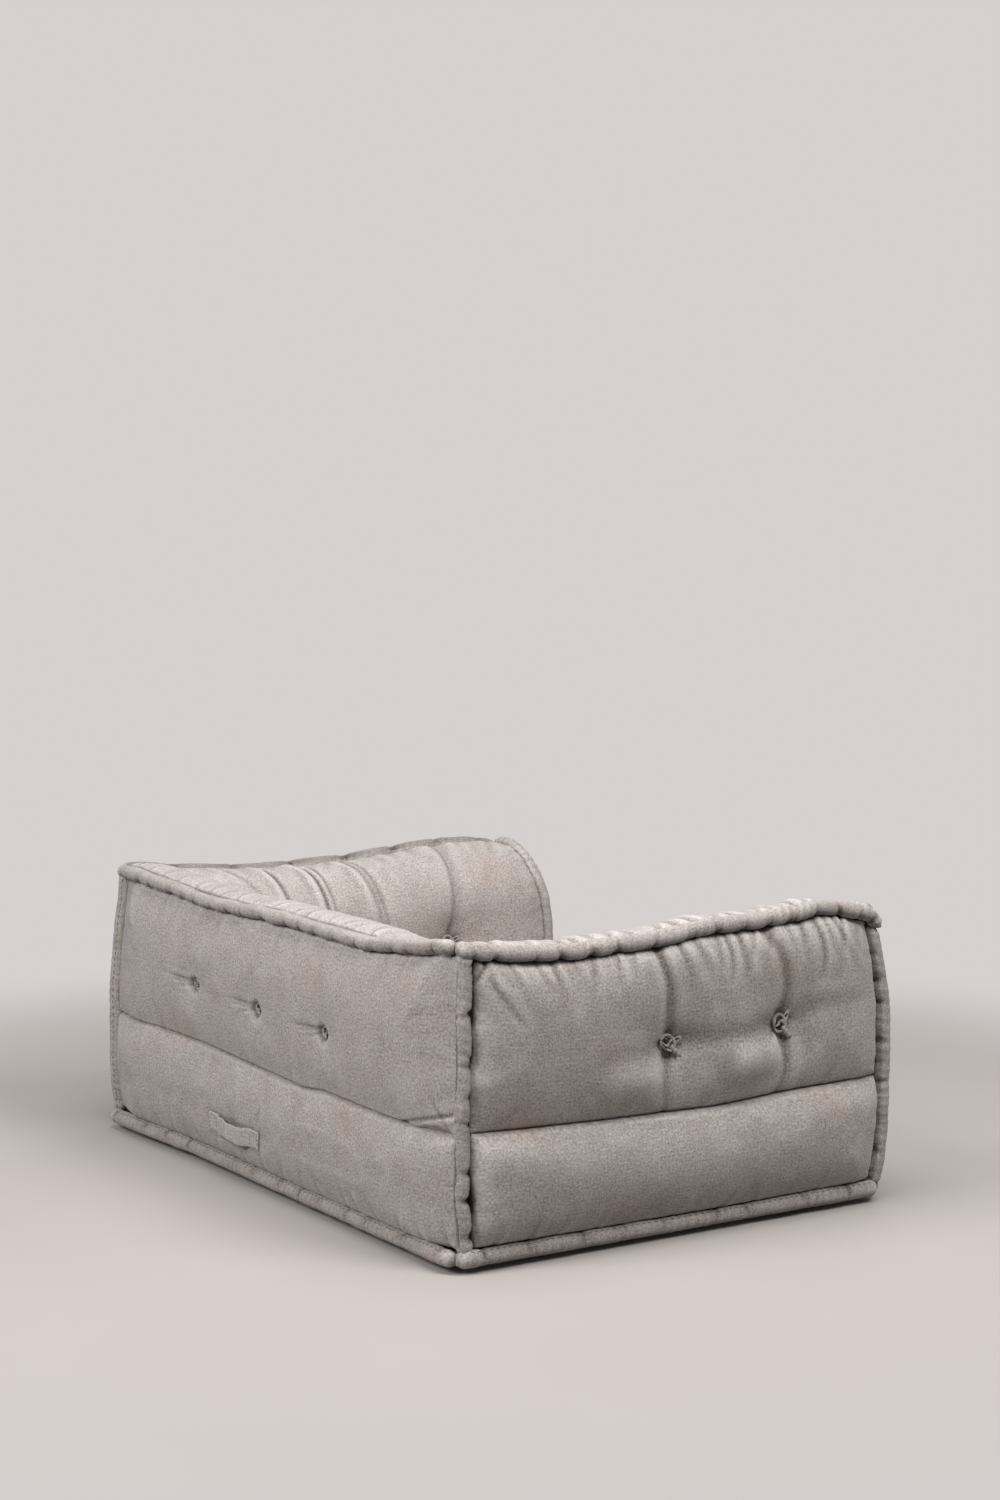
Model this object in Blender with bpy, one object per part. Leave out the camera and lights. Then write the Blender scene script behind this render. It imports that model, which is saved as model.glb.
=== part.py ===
"""Low floor sofa with a back and two arms, sewn in tufted linen with rolled mattress edges.

Metres, +Z up. The sofa faces -Y, its back is at +Y, and the origin is on the floor under its middle.
Each of the four sides has an empty at the foot of its outer face. A side's own axes are s along
the side, u inwards from its outer face, and z up, so the pieces of all sides share one set of functions.
"""
import math

import bmesh
import bpy
from mathutils import Vector

# Overall sizes
WIDTH = 1.46            # across the outer seams of the two arms
DEPTH = 1.06            # from the front seams to the outer seam of the back
BAND_TOP = 0.264        # crease between the base and the walls
TOP_SEAM = 0.577        # seam under the rolled top edge
WALL = 0.20             # thickness of the back and of each arm
SHOULDER = 0.15         # radius of the rounded inner shoulder

# Rolled edges
ROLL_RADIUS = 0.016
ROLL_INSET = 0.012      # middle of a roll, in from the outer face
CORNER_INSET = 0.020    # middle of an upright corner roll, in from the outer faces
CORNER_WRAP = 0.016     # how much further in from the back a rear corner roll lies, as the back wraps round
ROLL_LIFT = 0.012       # bottom rolls hang this far above the floor
ROLL_SIDES = 10

# Padded panels
PAD = 0.045             # stuffing between an outer face and the foam
WALL_CROWN = 0.012      # how far a wall panel swells past its seams
WALL_ROUND = 0.090      # how far in from its seams a wall panel reaches that swell
BAND_CROWN = 0.018
BAND_ROUND = 0.050
CORNER_DROP = 0.018     # how far a panel is drawn in at an upright corner
CORNER_REACH = 0.150    # how far along the panel that pull is felt
SEAT_PAD = 0.030        # seat panel's height at its seams, above the foam
SEAT_CROWN = 0.022
SEAT_ROUND = 0.120
UNDERSIDE = 0.012       # thickness of the padded cloth under the base
UNDERSIDE_DRAW = 0.030  # how far its edges are drawn in at the floor

# Tufts, each a twine that ties an outer and an inner rosette
TUFT_HEIGHT = 0.402
BACK_TUFT_COUNT = 3
BACK_TUFT_SPACING = 0.280
BACK_TUFT_SHIFT = 0.020     # towards the sitter's left
ARM_TUFT_COUNT = 2
ARM_TUFT_SPACING = 0.275
ARM_TUFT_SHIFT = 0.010      # towards the front of the sofa
TUFT_REACH = 0.120          # how far round a tuft the panel is pulled in
ARM_TUFT_DEPTH = 0.030
BACK_TUFT_DEPTH = 0.018
INNER_TUFT_DEPTH = 0.030
SEAT_TUFT_DEPTH = 0.028
ROSETTE_RADIUS = 0.019
ROSETTE_HEIGHT = 0.014
ROSETTE_LOBES = 5
TWINE_RADIUS = 0.002

# Carrying strap on the back of the base
STRAP_SHIFT = 0.107         # towards the sitter's left
STRAP_HEIGHT = 0.117
STRAP_WIDTH = 0.040
STRAP_THICKNESS = 0.004
STRAP_GRIP = 0.084          # length of the loose middle
STRAP_PATCH = 0.042         # length sewn down at each end
STRAP_RAMP = 0.026          # length that rises from a patch to the grip
STRAP_STAND = 0.012         # finger room under the grip

# Fits and mesh steps
GAP = 0.0003                # clearance between pieces that touch
TUFT_FLOOR = 0.020          # half the flat patch that a rosette sits on
TUFT_RINGS = (0.0, TUFT_FLOOR, 0.050, 0.085)
EDGE_RINGS = (0.014, 0.042)
GRID_STEP = 0.125
LEAST_CELL = 0.012
SHOULDER_STEPS = 6
SHARP_ANGLE = math.radians(40)

# Sizes that follow from those above
ROLL_TOP = TOP_SEAM + 2 * ROLL_RADIUS
ROLL_ROOM = ROLL_INSET + ROLL_RADIUS + GAP
CORNER_ROOM = CORNER_INSET + ROLL_RADIUS + GAP
BOTTOM_ROLL_TOP = ROLL_LIFT + 2 * ROLL_RADIUS
SHOULDER_RADIUS = min(SHOULDER, WALL - ROLL_ROOM)
SHOULDER_CENTRE = (WALL - SHOULDER_RADIUS, ROLL_TOP - SHOULDER_RADIUS)
WALL_FOAM_TOP = ROLL_TOP - PAD - GAP
INNER_EDGE = min(PAD, 2 * ROLL_RADIUS - GAP)    # inner panel's thickness where it meets the top roll
SEAT_BOTTOM = BAND_TOP + GAP
INNER_WIDTH = WIDTH - 2 * WALL
BACK_TUFT_MIDDLE = -BACK_TUFT_SHIFT
ARM_TUFT_MIDDLE = WALL / 2 + ARM_TUFT_SHIFT


def spaced(count, spacing, middle):
    """Positions of a row of equal steps about a middle."""
    first = middle - spacing * (count - 1) / 2
    return [first + spacing * step for step in range(count)]


# A side is its name, turn about Z, foot and length. Its mitres and wraps are for its low and its high end:
# whether a wall is mitred there, and how the corner roll is shifted along the side
BACK = {
    "name": "back", "turn": math.pi, "foot": (0, DEPTH / 2, 0), "length": WIDTH,
    "mitres": (True, True), "wraps": (-CORNER_WRAP, -CORNER_WRAP), "depth": BACK_TUFT_DEPTH,
    "tufts": spaced(BACK_TUFT_COUNT, BACK_TUFT_SPACING, BACK_TUFT_MIDDLE),
}
RIGHT_ARM = {
    "name": "right_arm", "turn": -math.pi / 2, "foot": (-WIDTH / 2, 0, 0), "length": DEPTH,
    "mitres": (True, False), "wraps": (CORNER_WRAP, 0.0), "depth": ARM_TUFT_DEPTH,
    "tufts": spaced(ARM_TUFT_COUNT, ARM_TUFT_SPACING, ARM_TUFT_MIDDLE),
}
LEFT_ARM = {
    "name": "left_arm", "turn": math.pi / 2, "foot": (WIDTH / 2, 0, 0), "length": DEPTH,
    "mitres": (False, True), "wraps": (0.0, CORNER_WRAP), "depth": ARM_TUFT_DEPTH,
    "tufts": spaced(ARM_TUFT_COUNT, ARM_TUFT_SPACING, -ARM_TUFT_MIDDLE),
}
FRONT = {
    "name": "front", "turn": 0.0, "foot": (0, -DEPTH / 2, 0), "length": WIDTH,
    "wraps": (0.0, 0.0),
}
WALLS = (BACK, RIGHT_ARM, LEFT_ARM)
ARMS = (RIGHT_ARM, LEFT_ARM)
SIDES = (BACK, RIGHT_ARM, LEFT_ARM, FRONT)


# Materials

def finish(name, colour, roughness):
    """One plain Principled material."""
    material = bpy.data.materials.new(name)
    material.use_nodes = True
    shader = material.node_tree.nodes["Principled BSDF"]
    shader.inputs["Base Color"].default_value = (*colour, 1.0)
    shader.inputs["Roughness"].default_value = roughness
    shader.inputs["Metallic"].default_value = 0.0
    material.diffuse_color = (*colour, 1.0)
    return material


def make_finishes():
    """Every finish of the sofa, by name."""
    return {
        "linen": finish("washed_linen", (0.37, 0.33, 0.30), 0.95),
        "roll": finish("linen_roll", (0.40, 0.36, 0.33), 0.95),
        "rosette": finish("linen_rosette", (0.29, 0.26, 0.24), 0.95),
        "strap": finish("linen_strap", (0.36, 0.32, 0.29), 0.95),
        "twine": finish("waxed_twine", (0.45, 0.40, 0.33), 0.70),
        "foam": finish("upholstery_foam", (0.78, 0.72, 0.55), 0.90),
        "underside": finish("cotton_underside", (0.30, 0.28, 0.26), 0.95),
    }


# Objects and meshes

def add_object(name, mesh_parts, material, parent, location=(0, 0, 0)):
    """One closed body from points and faces, placed under its side's empty."""
    points, faces = mesh_parts
    mesh = bpy.data.meshes.new(name)
    mesh.from_pydata([tuple(point) for point in points], [], faces)
    work = bmesh.new()
    work.from_mesh(mesh)
    bmesh.ops.recalc_face_normals(work, faces=work.faces)
    work.to_mesh(mesh)
    work.free()
    mesh.materials.append(material)
    mesh.shade_smooth()
    mesh.set_sharp_from_angle(angle=SHARP_ANGLE)
    piece = bpy.data.objects.new(name, mesh)
    bpy.context.scene.collection.objects.link(piece)
    piece.parent = parent
    piece.location = location
    return piece


def add_empty(side):
    """The frame of one side, at the foot of its outer face."""
    empty = bpy.data.objects.new(side["name"] + "_side", None)
    bpy.context.scene.collection.objects.link(empty)
    empty.location = side["foot"]
    empty.rotation_euler = (0, 0, side["turn"])
    return empty


def prism(outline, place, low, high):
    """A straight solid: a closed outline swept from low to high, where place maps (a, b, height)."""
    count = len(outline)
    points = [place(a, b, height) for height in (low, high) for a, b in outline]
    faces = [tuple(range(count)), tuple(range(2 * count - 1, count - 1, -1))]
    for index in range(count):
        after = (index + 1) % count
        faces.append((index, after, count + after, count + index))
    return points, faces


def tube(rings):
    """A closed tube through rings of equal length."""
    sides = len(rings[0])
    points = [point for ring in rings for point in ring]
    faces = [tuple(range(sides))]
    faces.append(tuple(range(len(points) - 1, len(points) - sides - 1, -1)))
    for step in range(len(rings) - 1):
        base = step * sides
        for index in range(sides):
            after = (index + 1) % sides
            faces.append((base + index, base + after, base + sides + after, base + sides + index))
    return points, faces


def circle(radius, sides):
    """Points of a circle, as pairs."""
    turns = [2 * math.pi * (index + 0.5) / sides for index in range(sides)]
    return [(radius * math.cos(turn), radius * math.sin(turn)) for turn in turns]


# Swell and pull of padded cloth

def swell(distance, reach):
    """Rise from 0 at a seam to 1 at the reach."""
    share = min(1.0, max(0.0, distance / reach))
    return math.sin(share * math.pi / 2)


def pull(distance):
    """How much of a tuft's pull is felt: 1 on its flat floor and 0 at its reach."""
    floor = TUFT_FLOOR * math.sqrt(2) + GAP
    share = min(1.0, max(0.0, (distance - floor) / (TUFT_REACH - floor)))
    return (1.0 - share) ** 2


def tufted(height, point, tufts, floor):
    """Height of a panel at a point, pulled to the floor of the nearest tuft."""
    if not tufts:
        return height
    distance = min(math.hypot(point[0] - tuft[0], point[1] - tuft[1]) for tuft in tufts)
    share = pull(distance)
    return height * (1.0 - share) + floor * share


def stations(low, high, centres):
    """Grid lines between two seams: rings round each tuft, then seam rings, then even filling."""
    marks = [low, high]
    wanted = [centre + way * ring for centre in centres for ring in TUFT_RINGS for way in (-1, 1)]
    wanted += [seam + way * ring for seam, way in ((low, 1), (high, -1)) for ring in EDGE_RINGS]
    for mark in wanted:
        inside = low < mark < high
        if inside and min(abs(mark - other) for other in marks) > LEAST_CELL:
            marks.append(mark)
    marks.sort()
    filled = [marks[0]]
    for before, after in zip(marks, marks[1:]):
        steps = max(1, math.ceil((after - before) / GRID_STEP))
        filled += [before + (after - before) * step / steps for step in range(1, steps + 1)]
    return filled


def slab(rows, columns, front, back):
    """A panel with a formed front and a flat back; front and back give the point at (row, column)."""
    points = [front(row, column) for row in rows for column in columns]
    wide = len(columns)
    tall = len(rows)
    faces = []
    for i in range(tall - 1):
        for j in range(wide - 1):
            faces.append((i * wide + j, i * wide + j + 1, (i + 1) * wide + j + 1, (i + 1) * wide + j))
    rim = [(0, j) for j in range(wide)]
    rim += [(i, wide - 1) for i in range(1, tall)]
    rim += [(tall - 1, j) for j in range(wide - 2, -1, -1)]
    rim += [(i, 0) for i in range(tall - 2, 0, -1)]
    behind = {}
    for i, j in rim:
        behind[i, j] = len(points)
        points.append(back(rows[i], columns[j]))
    for here, there in zip(rim, rim[1:] + rim[:1]):
        front_edge = (here[0] * wide + here[1], there[0] * wide + there[1])
        faces.append((*front_edge, behind[there], behind[here]))
    for j in range(1, wide - 2):
        faces.append((behind[0, j], behind[0, j + 1], behind[tall - 1, j + 1], behind[tall - 1, j]))
    for outer, inner in ((0, 1), (wide - 1, wide - 2)):
        apex = behind[0, inner]
        for i in range(tall - 1):
            faces.append((apex, behind[i, outer], behind[i + 1, outer]))
        faces.append((apex, behind[tall - 1, outer], behind[tall - 1, inner]))
    return points, faces


# Base

def corner_end(side, which, u):
    """Where an outer panel ends at depth u: on a slant that just clears the corner roll."""
    clear = math.sqrt(2) * (ROLL_RADIUS + GAP)
    return side["length"] / 2 - u - side["wraps"][which] - clear


def outer_face(side, low, high, crown, reach, tufts, depth):
    """Front grid of an outer panel: swollen between its seams and drawn in at the upright corners."""
    first, last = -corner_end(side, 0, CORNER_DROP), corner_end(side, 1, CORNER_DROP)
    back_first, back_last = -corner_end(side, 0, PAD), corner_end(side, 1, PAD)
    columns = stations(first, last, [tuft[0] for tuft in tufts])
    rows = stations(low, high, [tuft[1] for tuft in tufts[:1]])

    def front(z, s):
        full = swell(min(s - first, last - s), CORNER_REACH)
        rise = crown * swell(min(z - low, high - z), reach) * full - CORNER_DROP * (1.0 - full)
        return Vector((s, -tufted(rise, (s, z), tufts, crown - depth), z))

    def back(z, s):
        along = back_first + (s - first) * (back_last - back_first) / (last - first)
        up = low + (z - low) * (min(high, WALL_FOAM_TOP) - low) / (high - low)
        return Vector((along, PAD, up))

    return slab(rows, columns, front, back)


def make_base(empties, finishes):
    """Foam block, its cover's four bands, and the cloth under it."""
    inner_x = WIDTH / 2 - PAD - GAP
    inner_y = DEPTH / 2 - PAD - GAP
    block = [(-inner_x, -inner_y), (inner_x, -inner_y), (inner_x, inner_y), (-inner_x, inner_y)]
    foam = prism(block, lambda x, y, z: (x, y, z), UNDERSIDE + GAP, BAND_TOP)
    add_object("seat_core", foam, finishes["foam"], None)
    rings = []
    for z, room in ((0.0, ROLL_ROOM + UNDERSIDE_DRAW), (UNDERSIDE, ROLL_ROOM)):
        x = WIDTH / 2 - room
        y = DEPTH / 2 - room
        rings.append([Vector((-x, -y, z)), Vector((x, -y, z)), Vector((x, y, z)), Vector((-x, y, z))])
    add_object("bottom_cloth", tube(rings), finishes["underside"], None)
    for side in SIDES:
        band = outer_face(side, BOTTOM_ROLL_TOP + GAP, BAND_TOP, BAND_CROWN, BAND_ROUND, [], 0.0)
        add_object("base_band_" + side["name"], band, finishes["linen"], empties[side["name"]])


def seat_tufts():
    """Seat tufts, in line with the outer back tufts and the arm tufts."""
    across = (BACK_TUFT_SHIFT - BACK_TUFT_SPACING, BACK_TUFT_SHIFT + BACK_TUFT_SPACING)
    return [(x, -s) for x in across for s in RIGHT_ARM["tufts"]]


def make_seat(finishes):
    """Tufted seat panel between the walls, with its rosettes."""
    end = INNER_WIDTH / 2 - GAP
    front_y = -DEPTH / 2 + ROLL_ROOM
    rear_y = DEPTH / 2 - WALL - GAP
    tufts = seat_tufts()
    crest = SEAT_BOTTOM + SEAT_PAD + SEAT_CROWN
    columns = stations(-end, end, sorted({tuft[0] for tuft in tufts}))
    rows = stations(front_y, rear_y, sorted({tuft[1] for tuft in tufts}))

    def front(y, x):
        rise = swell(end - abs(x), SEAT_ROUND) * swell(min(y - front_y, rear_y - y), SEAT_ROUND)
        height = SEAT_BOTTOM + SEAT_PAD + SEAT_CROWN * rise
        return Vector((x, y, tufted(height, (x, y), tufts, crest - SEAT_TUFT_DEPTH)))

    def back(y, x):
        return Vector((x, y, SEAT_BOTTOM))

    add_object("seat_top", slab(rows, columns, front, back), finishes["linen"], None)
    floor = crest - SEAT_TUFT_DEPTH + GAP
    for index, (x, y) in enumerate(tufts, start=1):
        shape = rosette(lambda a, b, height: (a, b, height))
        add_object(f"seat_rosette_{index}", shape, finishes["rosette"], None, (x, y, floor))


# Walls

def shoulder_point(travel, inset):
    """Point (u, z) of a wall's inner profile, from the seat up, over the shoulder, to the top roll."""
    centre_u, centre_z = SHOULDER_CENTRE
    straight = centre_z - SEAT_BOTTOM
    if travel <= straight:
        return WALL - inset, SEAT_BOTTOM + travel
    angle = (travel - straight) / SHOULDER_RADIUS
    if angle <= math.pi / 2:
        radius = SHOULDER_RADIUS - inset
        return centre_u + radius * math.cos(angle), centre_z + radius * math.sin(angle)
    past = travel - straight - SHOULDER_RADIUS * math.pi / 2
    return centre_u - past, ROLL_TOP - inset


def shoulder_travel(z):
    """Travel along the inner profile at which it reaches a height."""
    centre_z = SHOULDER_CENTRE[1]
    if z <= centre_z:
        return z - SEAT_BOTTOM
    return centre_z - SEAT_BOTTOM + SHOULDER_RADIUS * math.asin((z - centre_z) / SHOULDER_RADIUS)


def profile_length():
    """Travel from the seat to the edge of the top roll."""
    top_run = SHOULDER_CENTRE[0] - ROLL_ROOM
    return SHOULDER_CENTRE[1] - SEAT_BOTTOM + SHOULDER_RADIUS * math.pi / 2 + top_run


def profile_marks():
    """Grid lines along the inner profile, shared by all that follows it, with steps round the shoulder."""
    straight = SHOULDER_CENTRE[1] - SEAT_BOTTOM
    marks = [0.0] + stations(SEAT_PAD, profile_length(), [shoulder_travel(TUFT_HEIGHT)])
    for step in range(1, SHOULDER_STEPS):
        mark = straight + SHOULDER_RADIUS * math.pi / 2 * step / SHOULDER_STEPS
        if min(abs(mark - other) for other in marks) > LEAST_CELL:
            marks.append(mark)
    return sorted(marks)


def wall_end(side, which, u, front_room):
    """Where a wall piece ends at depth u: on the rear mitre, or short of the front by its room."""
    half = side["length"] / 2
    if side["mitres"][which]:
        return half - max(u, 0.0) - GAP
    return half - front_room


def make_core(side, empties, finishes):
    """Foam of one wall: the profile inside its padding, mitred at the rear corners."""
    inset = PAD + GAP
    travels = profile_marks()
    outline = [shoulder_point(travel, inset) for travel in travels]
    outline = [(u, z) for u, z in outline if u > inset + LEAST_CELL]
    outline += [(inset, WALL_FOAM_TOP), (inset, SEAT_BOTTOM)]
    rings = []
    for which, way in ((0, -1), (1, 1)):
        rings.append([Vector((way * wall_end(side, which, u, inset), u, z)) for u, z in outline])
    return add_object(side["name"] + "_core", tube(rings), finishes["foam"], empties[side["name"]])


def make_inner_panel(side, empties, finishes):
    """Padded panel from the seat, up the inner face, over the shoulder, to the top roll."""
    travels = profile_marks()
    last = travels[-1]
    front_room = ROLL_ROOM
    tight = [way * wall_end(side, which, WALL, front_room) for which, way in ((0, -1), (1, 1))]
    middle = stations(tight[0], tight[1], side["tufts"])[1:-1]
    middle = [s for s in middle if tight[0] + PAD < s < tight[1] - PAD]
    tuft_travel = shoulder_travel(TUFT_HEIGHT)
    tufts = [(s, tuft_travel) for s in side["tufts"]]
    points = []
    for travel in travels:
        u, z = shoulder_point(travel, 0.0)
        ends = [way * wall_end(side, which, u, front_room) for which, way in ((0, -1), (1, 1))]
        inward_u, inward_z = shoulder_point(travel, PAD)
        normal = Vector((0, u - inward_u, z - inward_z)).normalized()
        for s in [ends[0], *middle, ends[1]]:
            edge = swell(min(s - ends[0], ends[1] - s), WALL_ROUND)
            rise = WALL_CROWN * swell(min(travel - SEAT_PAD, last - travel), WALL_ROUND) * edge
            rise = tufted(rise, (s, travel), tufts, WALL_CROWN - INNER_TUFT_DEPTH)
            points.append(Vector((s, u, z)) + rise * normal)
    wide = len(middle) + 2
    tall = len(travels)
    faces = []
    for i in range(tall - 1):
        for j in range(wide - 1):
            faces.append((i * wide + j, i * wide + j + 1, (i + 1) * wide + j + 1, (i + 1) * wide + j))
    rear = len(points)
    for travel in travels:
        over_outer_panel = shoulder_point(travel, 0.0)[0] < PAD
        u, z = shoulder_point(travel, INNER_EDGE if over_outer_panel else PAD)
        for which, way in ((0, -1), (1, 1)):
            points.append(Vector((way * wall_end(side, which, u, PAD + GAP), u, z)))
    for i in range(tall - 1):
        low = rear + 2 * i
        faces.append((low, low + 1, low + 3, low + 2))
        faces.append((i * wide, (i + 1) * wide, low + 2, low))
        faces.append((i * wide + wide - 1, (i + 1) * wide + wide - 1, low + 3, low + 1))
    for i in (0, tall - 1):
        low = rear + 2 * i
        half = wide // 2
        for j in range(wide - 1):
            faces.append((i * wide + j, i * wide + j + 1, low if j < half else low + 1))
        faces.append((i * wide + half, low, low + 1))
    return add_object(
        side["name"] + "_inner_panel", (points, faces), finishes["linen"], empties[side["name"]])


def make_outer_panel(side, empties, finishes):
    """Padded panel of one wall's outer face."""
    tufts = [(s, TUFT_HEIGHT) for s in side["tufts"]]
    shape = outer_face(
        side, BAND_TOP + GAP, TOP_SEAM - GAP, WALL_CROWN, WALL_ROUND, tufts, side["depth"])
    return add_object(side["name"] + "_outer_panel", shape, finishes["linen"], empties[side["name"]])


def front_way(side):
    """Sign of s towards the front end of an arm."""
    return 1 if side["mitres"][0] else -1


def end_outline(inset, outer_u):
    """Outline of an arm's front end, inside the rolls on its edges or the padding behind them."""
    travels = [travel for travel in profile_marks() if shoulder_point(travel, 0.0)[0] > PAD + LEAST_CELL]
    outline = [shoulder_point(travel, inset) for travel in travels]
    return outline + [(outer_u, ROLL_TOP - inset), (outer_u, SEAT_BOTTOM)]


def make_end_panel(side, empties, finishes):
    """Padded end of an arm, with a flat bottom seam and a rounded inner shoulder."""
    outline = end_outline(ROLL_ROOM, CORNER_ROOM)
    way = front_way(side)
    half = side["length"] / 2
    middle_u = (CORNER_ROOM + WALL - ROLL_ROOM) / 2
    middle_z = (SEAT_BOTTOM + ROLL_TOP - ROLL_ROOM) / 2
    shares = (1.0, 0.88, 0.65, 0.35)
    rings = []
    for share in shares:
        out = WALL_CROWN * swell(1.0 - share, 1.0)
        rings.append([
            Vector((way * (half + out), middle_u + (u - middle_u) * share, middle_z + (z - middle_z) * share))
            for u, z in outline])
    behind = max(PAD + GAP, CORNER_ROOM)
    rear = [Vector((way * (half - PAD), u, z)) for u, z in end_outline(behind, behind)]
    return add_object(
        side["name"] + "_end_panel", tube([rear, *rings]), finishes["linen"], empties[side["name"]])


# Rolled edges

def straight_roll(name, side, z, mitres, low_room, high_room, empties, finishes):
    """A roll along a side, mitred at its corners or cut square short of them."""
    half = side["length"] / 2
    rings = []
    for which, way, room in ((0, -1, low_room), (1, 1, high_room)):
        ring = []
        for across, up in circle(ROLL_RADIUS, ROLL_SIDES):
            u = ROLL_INSET + across
            end = half - u - GAP if mitres[which] else half - room
            ring.append(Vector((way * end, u, z + up)))
        rings.append(ring)
    add_object(name, tube(rings), finishes["roll"], empties[side["name"]])


def make_straight_rolls(empties, finishes):
    """Bottom rolls on four sides, top rolls on three walls, and the roll along the seat's front edge."""
    for side in SIDES:
        name = "bottom_roll_" + side["name"]
        height = ROLL_LIFT + ROLL_RADIUS
        straight_roll(name, side, height, (True, True), 0, 0, empties, finishes)
    for side in WALLS:
        name = "top_roll_" + side["name"]
        height = TOP_SEAM + ROLL_RADIUS
        straight_roll(name, side, height, side["mitres"], 0, 0, empties, finishes)
    height = BAND_TOP + GAP + ROLL_RADIUS
    room = WALL - ROLL_INSET + ROLL_RADIUS + GAP
    straight_roll("seat_front_roll", FRONT, height, (False, False), room, room, empties, finishes)


def make_corner_rolls(empties, finishes):
    """Upright rolls on the four outer corners, from the bottom roll to the top roll."""
    for arm in ARMS:
        for end, way, wrap in (("rear", -front_way(arm), CORNER_WRAP), ("front", front_way(arm), 0.0)):
            s = way * (arm["length"] / 2 - CORNER_INSET - wrap)
            outline = [(s + a, CORNER_INSET + b) for a, b in circle(ROLL_RADIUS, ROLL_SIDES)]
            shape = prism(outline, lambda a, b, z: (a, b, z), BOTTOM_ROLL_TOP + GAP, TOP_SEAM - GAP)
            name = f"corner_roll_{end}_{arm['name'].split('_')[0]}"
            add_object(name, shape, finishes["roll"], empties[arm["name"]])


def make_end_rolls(empties, finishes):
    """Curved rolls round the inner edge of each arm's front end."""
    for arm in ARMS:
        way = front_way(arm)
        s = way * (arm["length"] / 2 - ROLL_INSET)
        rings = []
        for travel in profile_marks():
            u, z = shoulder_point(travel, ROLL_INSET)
            outer_u, outer_z = shoulder_point(travel, 0.0)
            normal = Vector((0, outer_u - u, outer_z - z)).normalized()
            middle = Vector((s, u, z))
            rings.append([
                middle + a * normal + Vector((b, 0, 0)) for a, b in circle(ROLL_RADIUS, ROLL_SIDES)])
        add_object("end_roll_" + arm["name"], tube(rings), finishes["roll"], empties[arm["name"]])


# Tufts

def rosette(place):
    """Twisted rosette of cloth with a flat back, in axes given by place(a, b, height)."""
    levels = ((0.0, 0.72), (0.35, 1.0), (0.75, 0.80), (1.0, 0.35))
    lobe = 0.12
    sides = 3 * ROSETTE_LOBES
    rings = []
    for level, size in levels:
        height = level * ROSETTE_HEIGHT
        ring = []
        for index in range(sides):
            turn = 2 * math.pi * index / sides
            radius = ROSETTE_RADIUS * size * (1 + lobe * math.cos(ROSETTE_LOBES * turn))
            turn += level
            ring.append(Vector(place(radius * math.cos(turn), radius * math.sin(turn), height)))
        rings.append(ring)
    return tube(rings)


def pierce(piece, cutter):
    """A needle hole through a piece."""
    hole = piece.modifiers.new("needle_hole", 'BOOLEAN')
    hole.operation = 'DIFFERENCE'
    hole.solver = 'EXACT'
    hole.object = cutter


def make_tufts(side, pierced, empties, finishes):
    """Each tuft of one wall: two rosettes, the twine that ties them, and its needle hole."""
    empty = empties[side["name"]]
    outer_floor = side["depth"] - WALL_CROWN
    inner_floor = WALL + WALL_CROWN - INNER_TUFT_DEPTH
    past = ROSETTE_HEIGHT
    for index, s in enumerate(side["tufts"], start=1):
        tag = f"{side['name']}_{index}"
        thread = [(s + a, TUFT_HEIGHT + b) for a, b in circle(TWINE_RADIUS, ROLL_SIDES)]
        twine = prism(thread, lambda a, b, u: (a, u, b), outer_floor, inner_floor)
        add_object("twine_" + tag, twine, finishes["twine"], empty)
        bore = [(s + a, TUFT_HEIGHT + b) for a, b in circle(TWINE_RADIUS + GAP, ROLL_SIDES)]
        needle = prism(bore, lambda a, b, u: (a, u, b), outer_floor - past, inner_floor + past)
        cutter = add_object("needle_" + tag, needle, finishes["twine"], empty)
        cutter.hide_render = True
        cutter.display_type = 'WIRE'
        for piece in pierced:
            pierce(piece, cutter)
        outer = rosette(lambda a, b, height: (a, -height, b))
        place = (s, outer_floor - GAP, TUFT_HEIGHT)
        add_object("outer_rosette_" + tag, outer, finishes["rosette"], empty, place)
        inner = rosette(lambda a, b, height: (a, height, b))
        place = (s, inner_floor + GAP, TUFT_HEIGHT)
        add_object("inner_rosette_" + tag, inner, finishes["rosette"], empty, place)


# Carrying strap

def strap_piece(outline, low, high):
    """A flat length of strap from its edge-on outline (s, out)."""
    return prism(outline, lambda s, out, z: (s, -out, z), low, high)


def make_strap(empties, finishes):
    """Loose grip and the two sewn ends that carry it; s runs towards the sitter's right here."""
    empty = empties["back"]
    middle = (-STRAP_SHIFT, -BAND_CROWN, STRAP_HEIGHT)
    low = -STRAP_WIDTH / 2
    high = STRAP_WIDTH / 2
    half = STRAP_GRIP / 2
    top = STRAP_STAND + STRAP_THICKNESS
    grip = [(-half, STRAP_STAND), (half, STRAP_STAND), (half, top), (-half, top)]
    add_object("strap_grip", strap_piece(grip, low, high), finishes["strap"], empty, middle)
    foot = half + STRAP_RAMP
    tip = foot + STRAP_PATCH
    for name, way in (("strap_end_right", 1), ("strap_end_left", -1)):
        near = half + GAP
        outline = [(near, STRAP_STAND), (foot, GAP), (tip, GAP)]
        outline += [(tip, GAP + STRAP_THICKNESS), (foot + STRAP_THICKNESS / 2, GAP + STRAP_THICKNESS)]
        outline += [(near + STRAP_THICKNESS / 2, top), (near, top)]
        shape = strap_piece([(way * s, out) for s, out in outline], low, high)
        add_object(name, shape, finishes["strap"], empty, middle)


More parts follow.
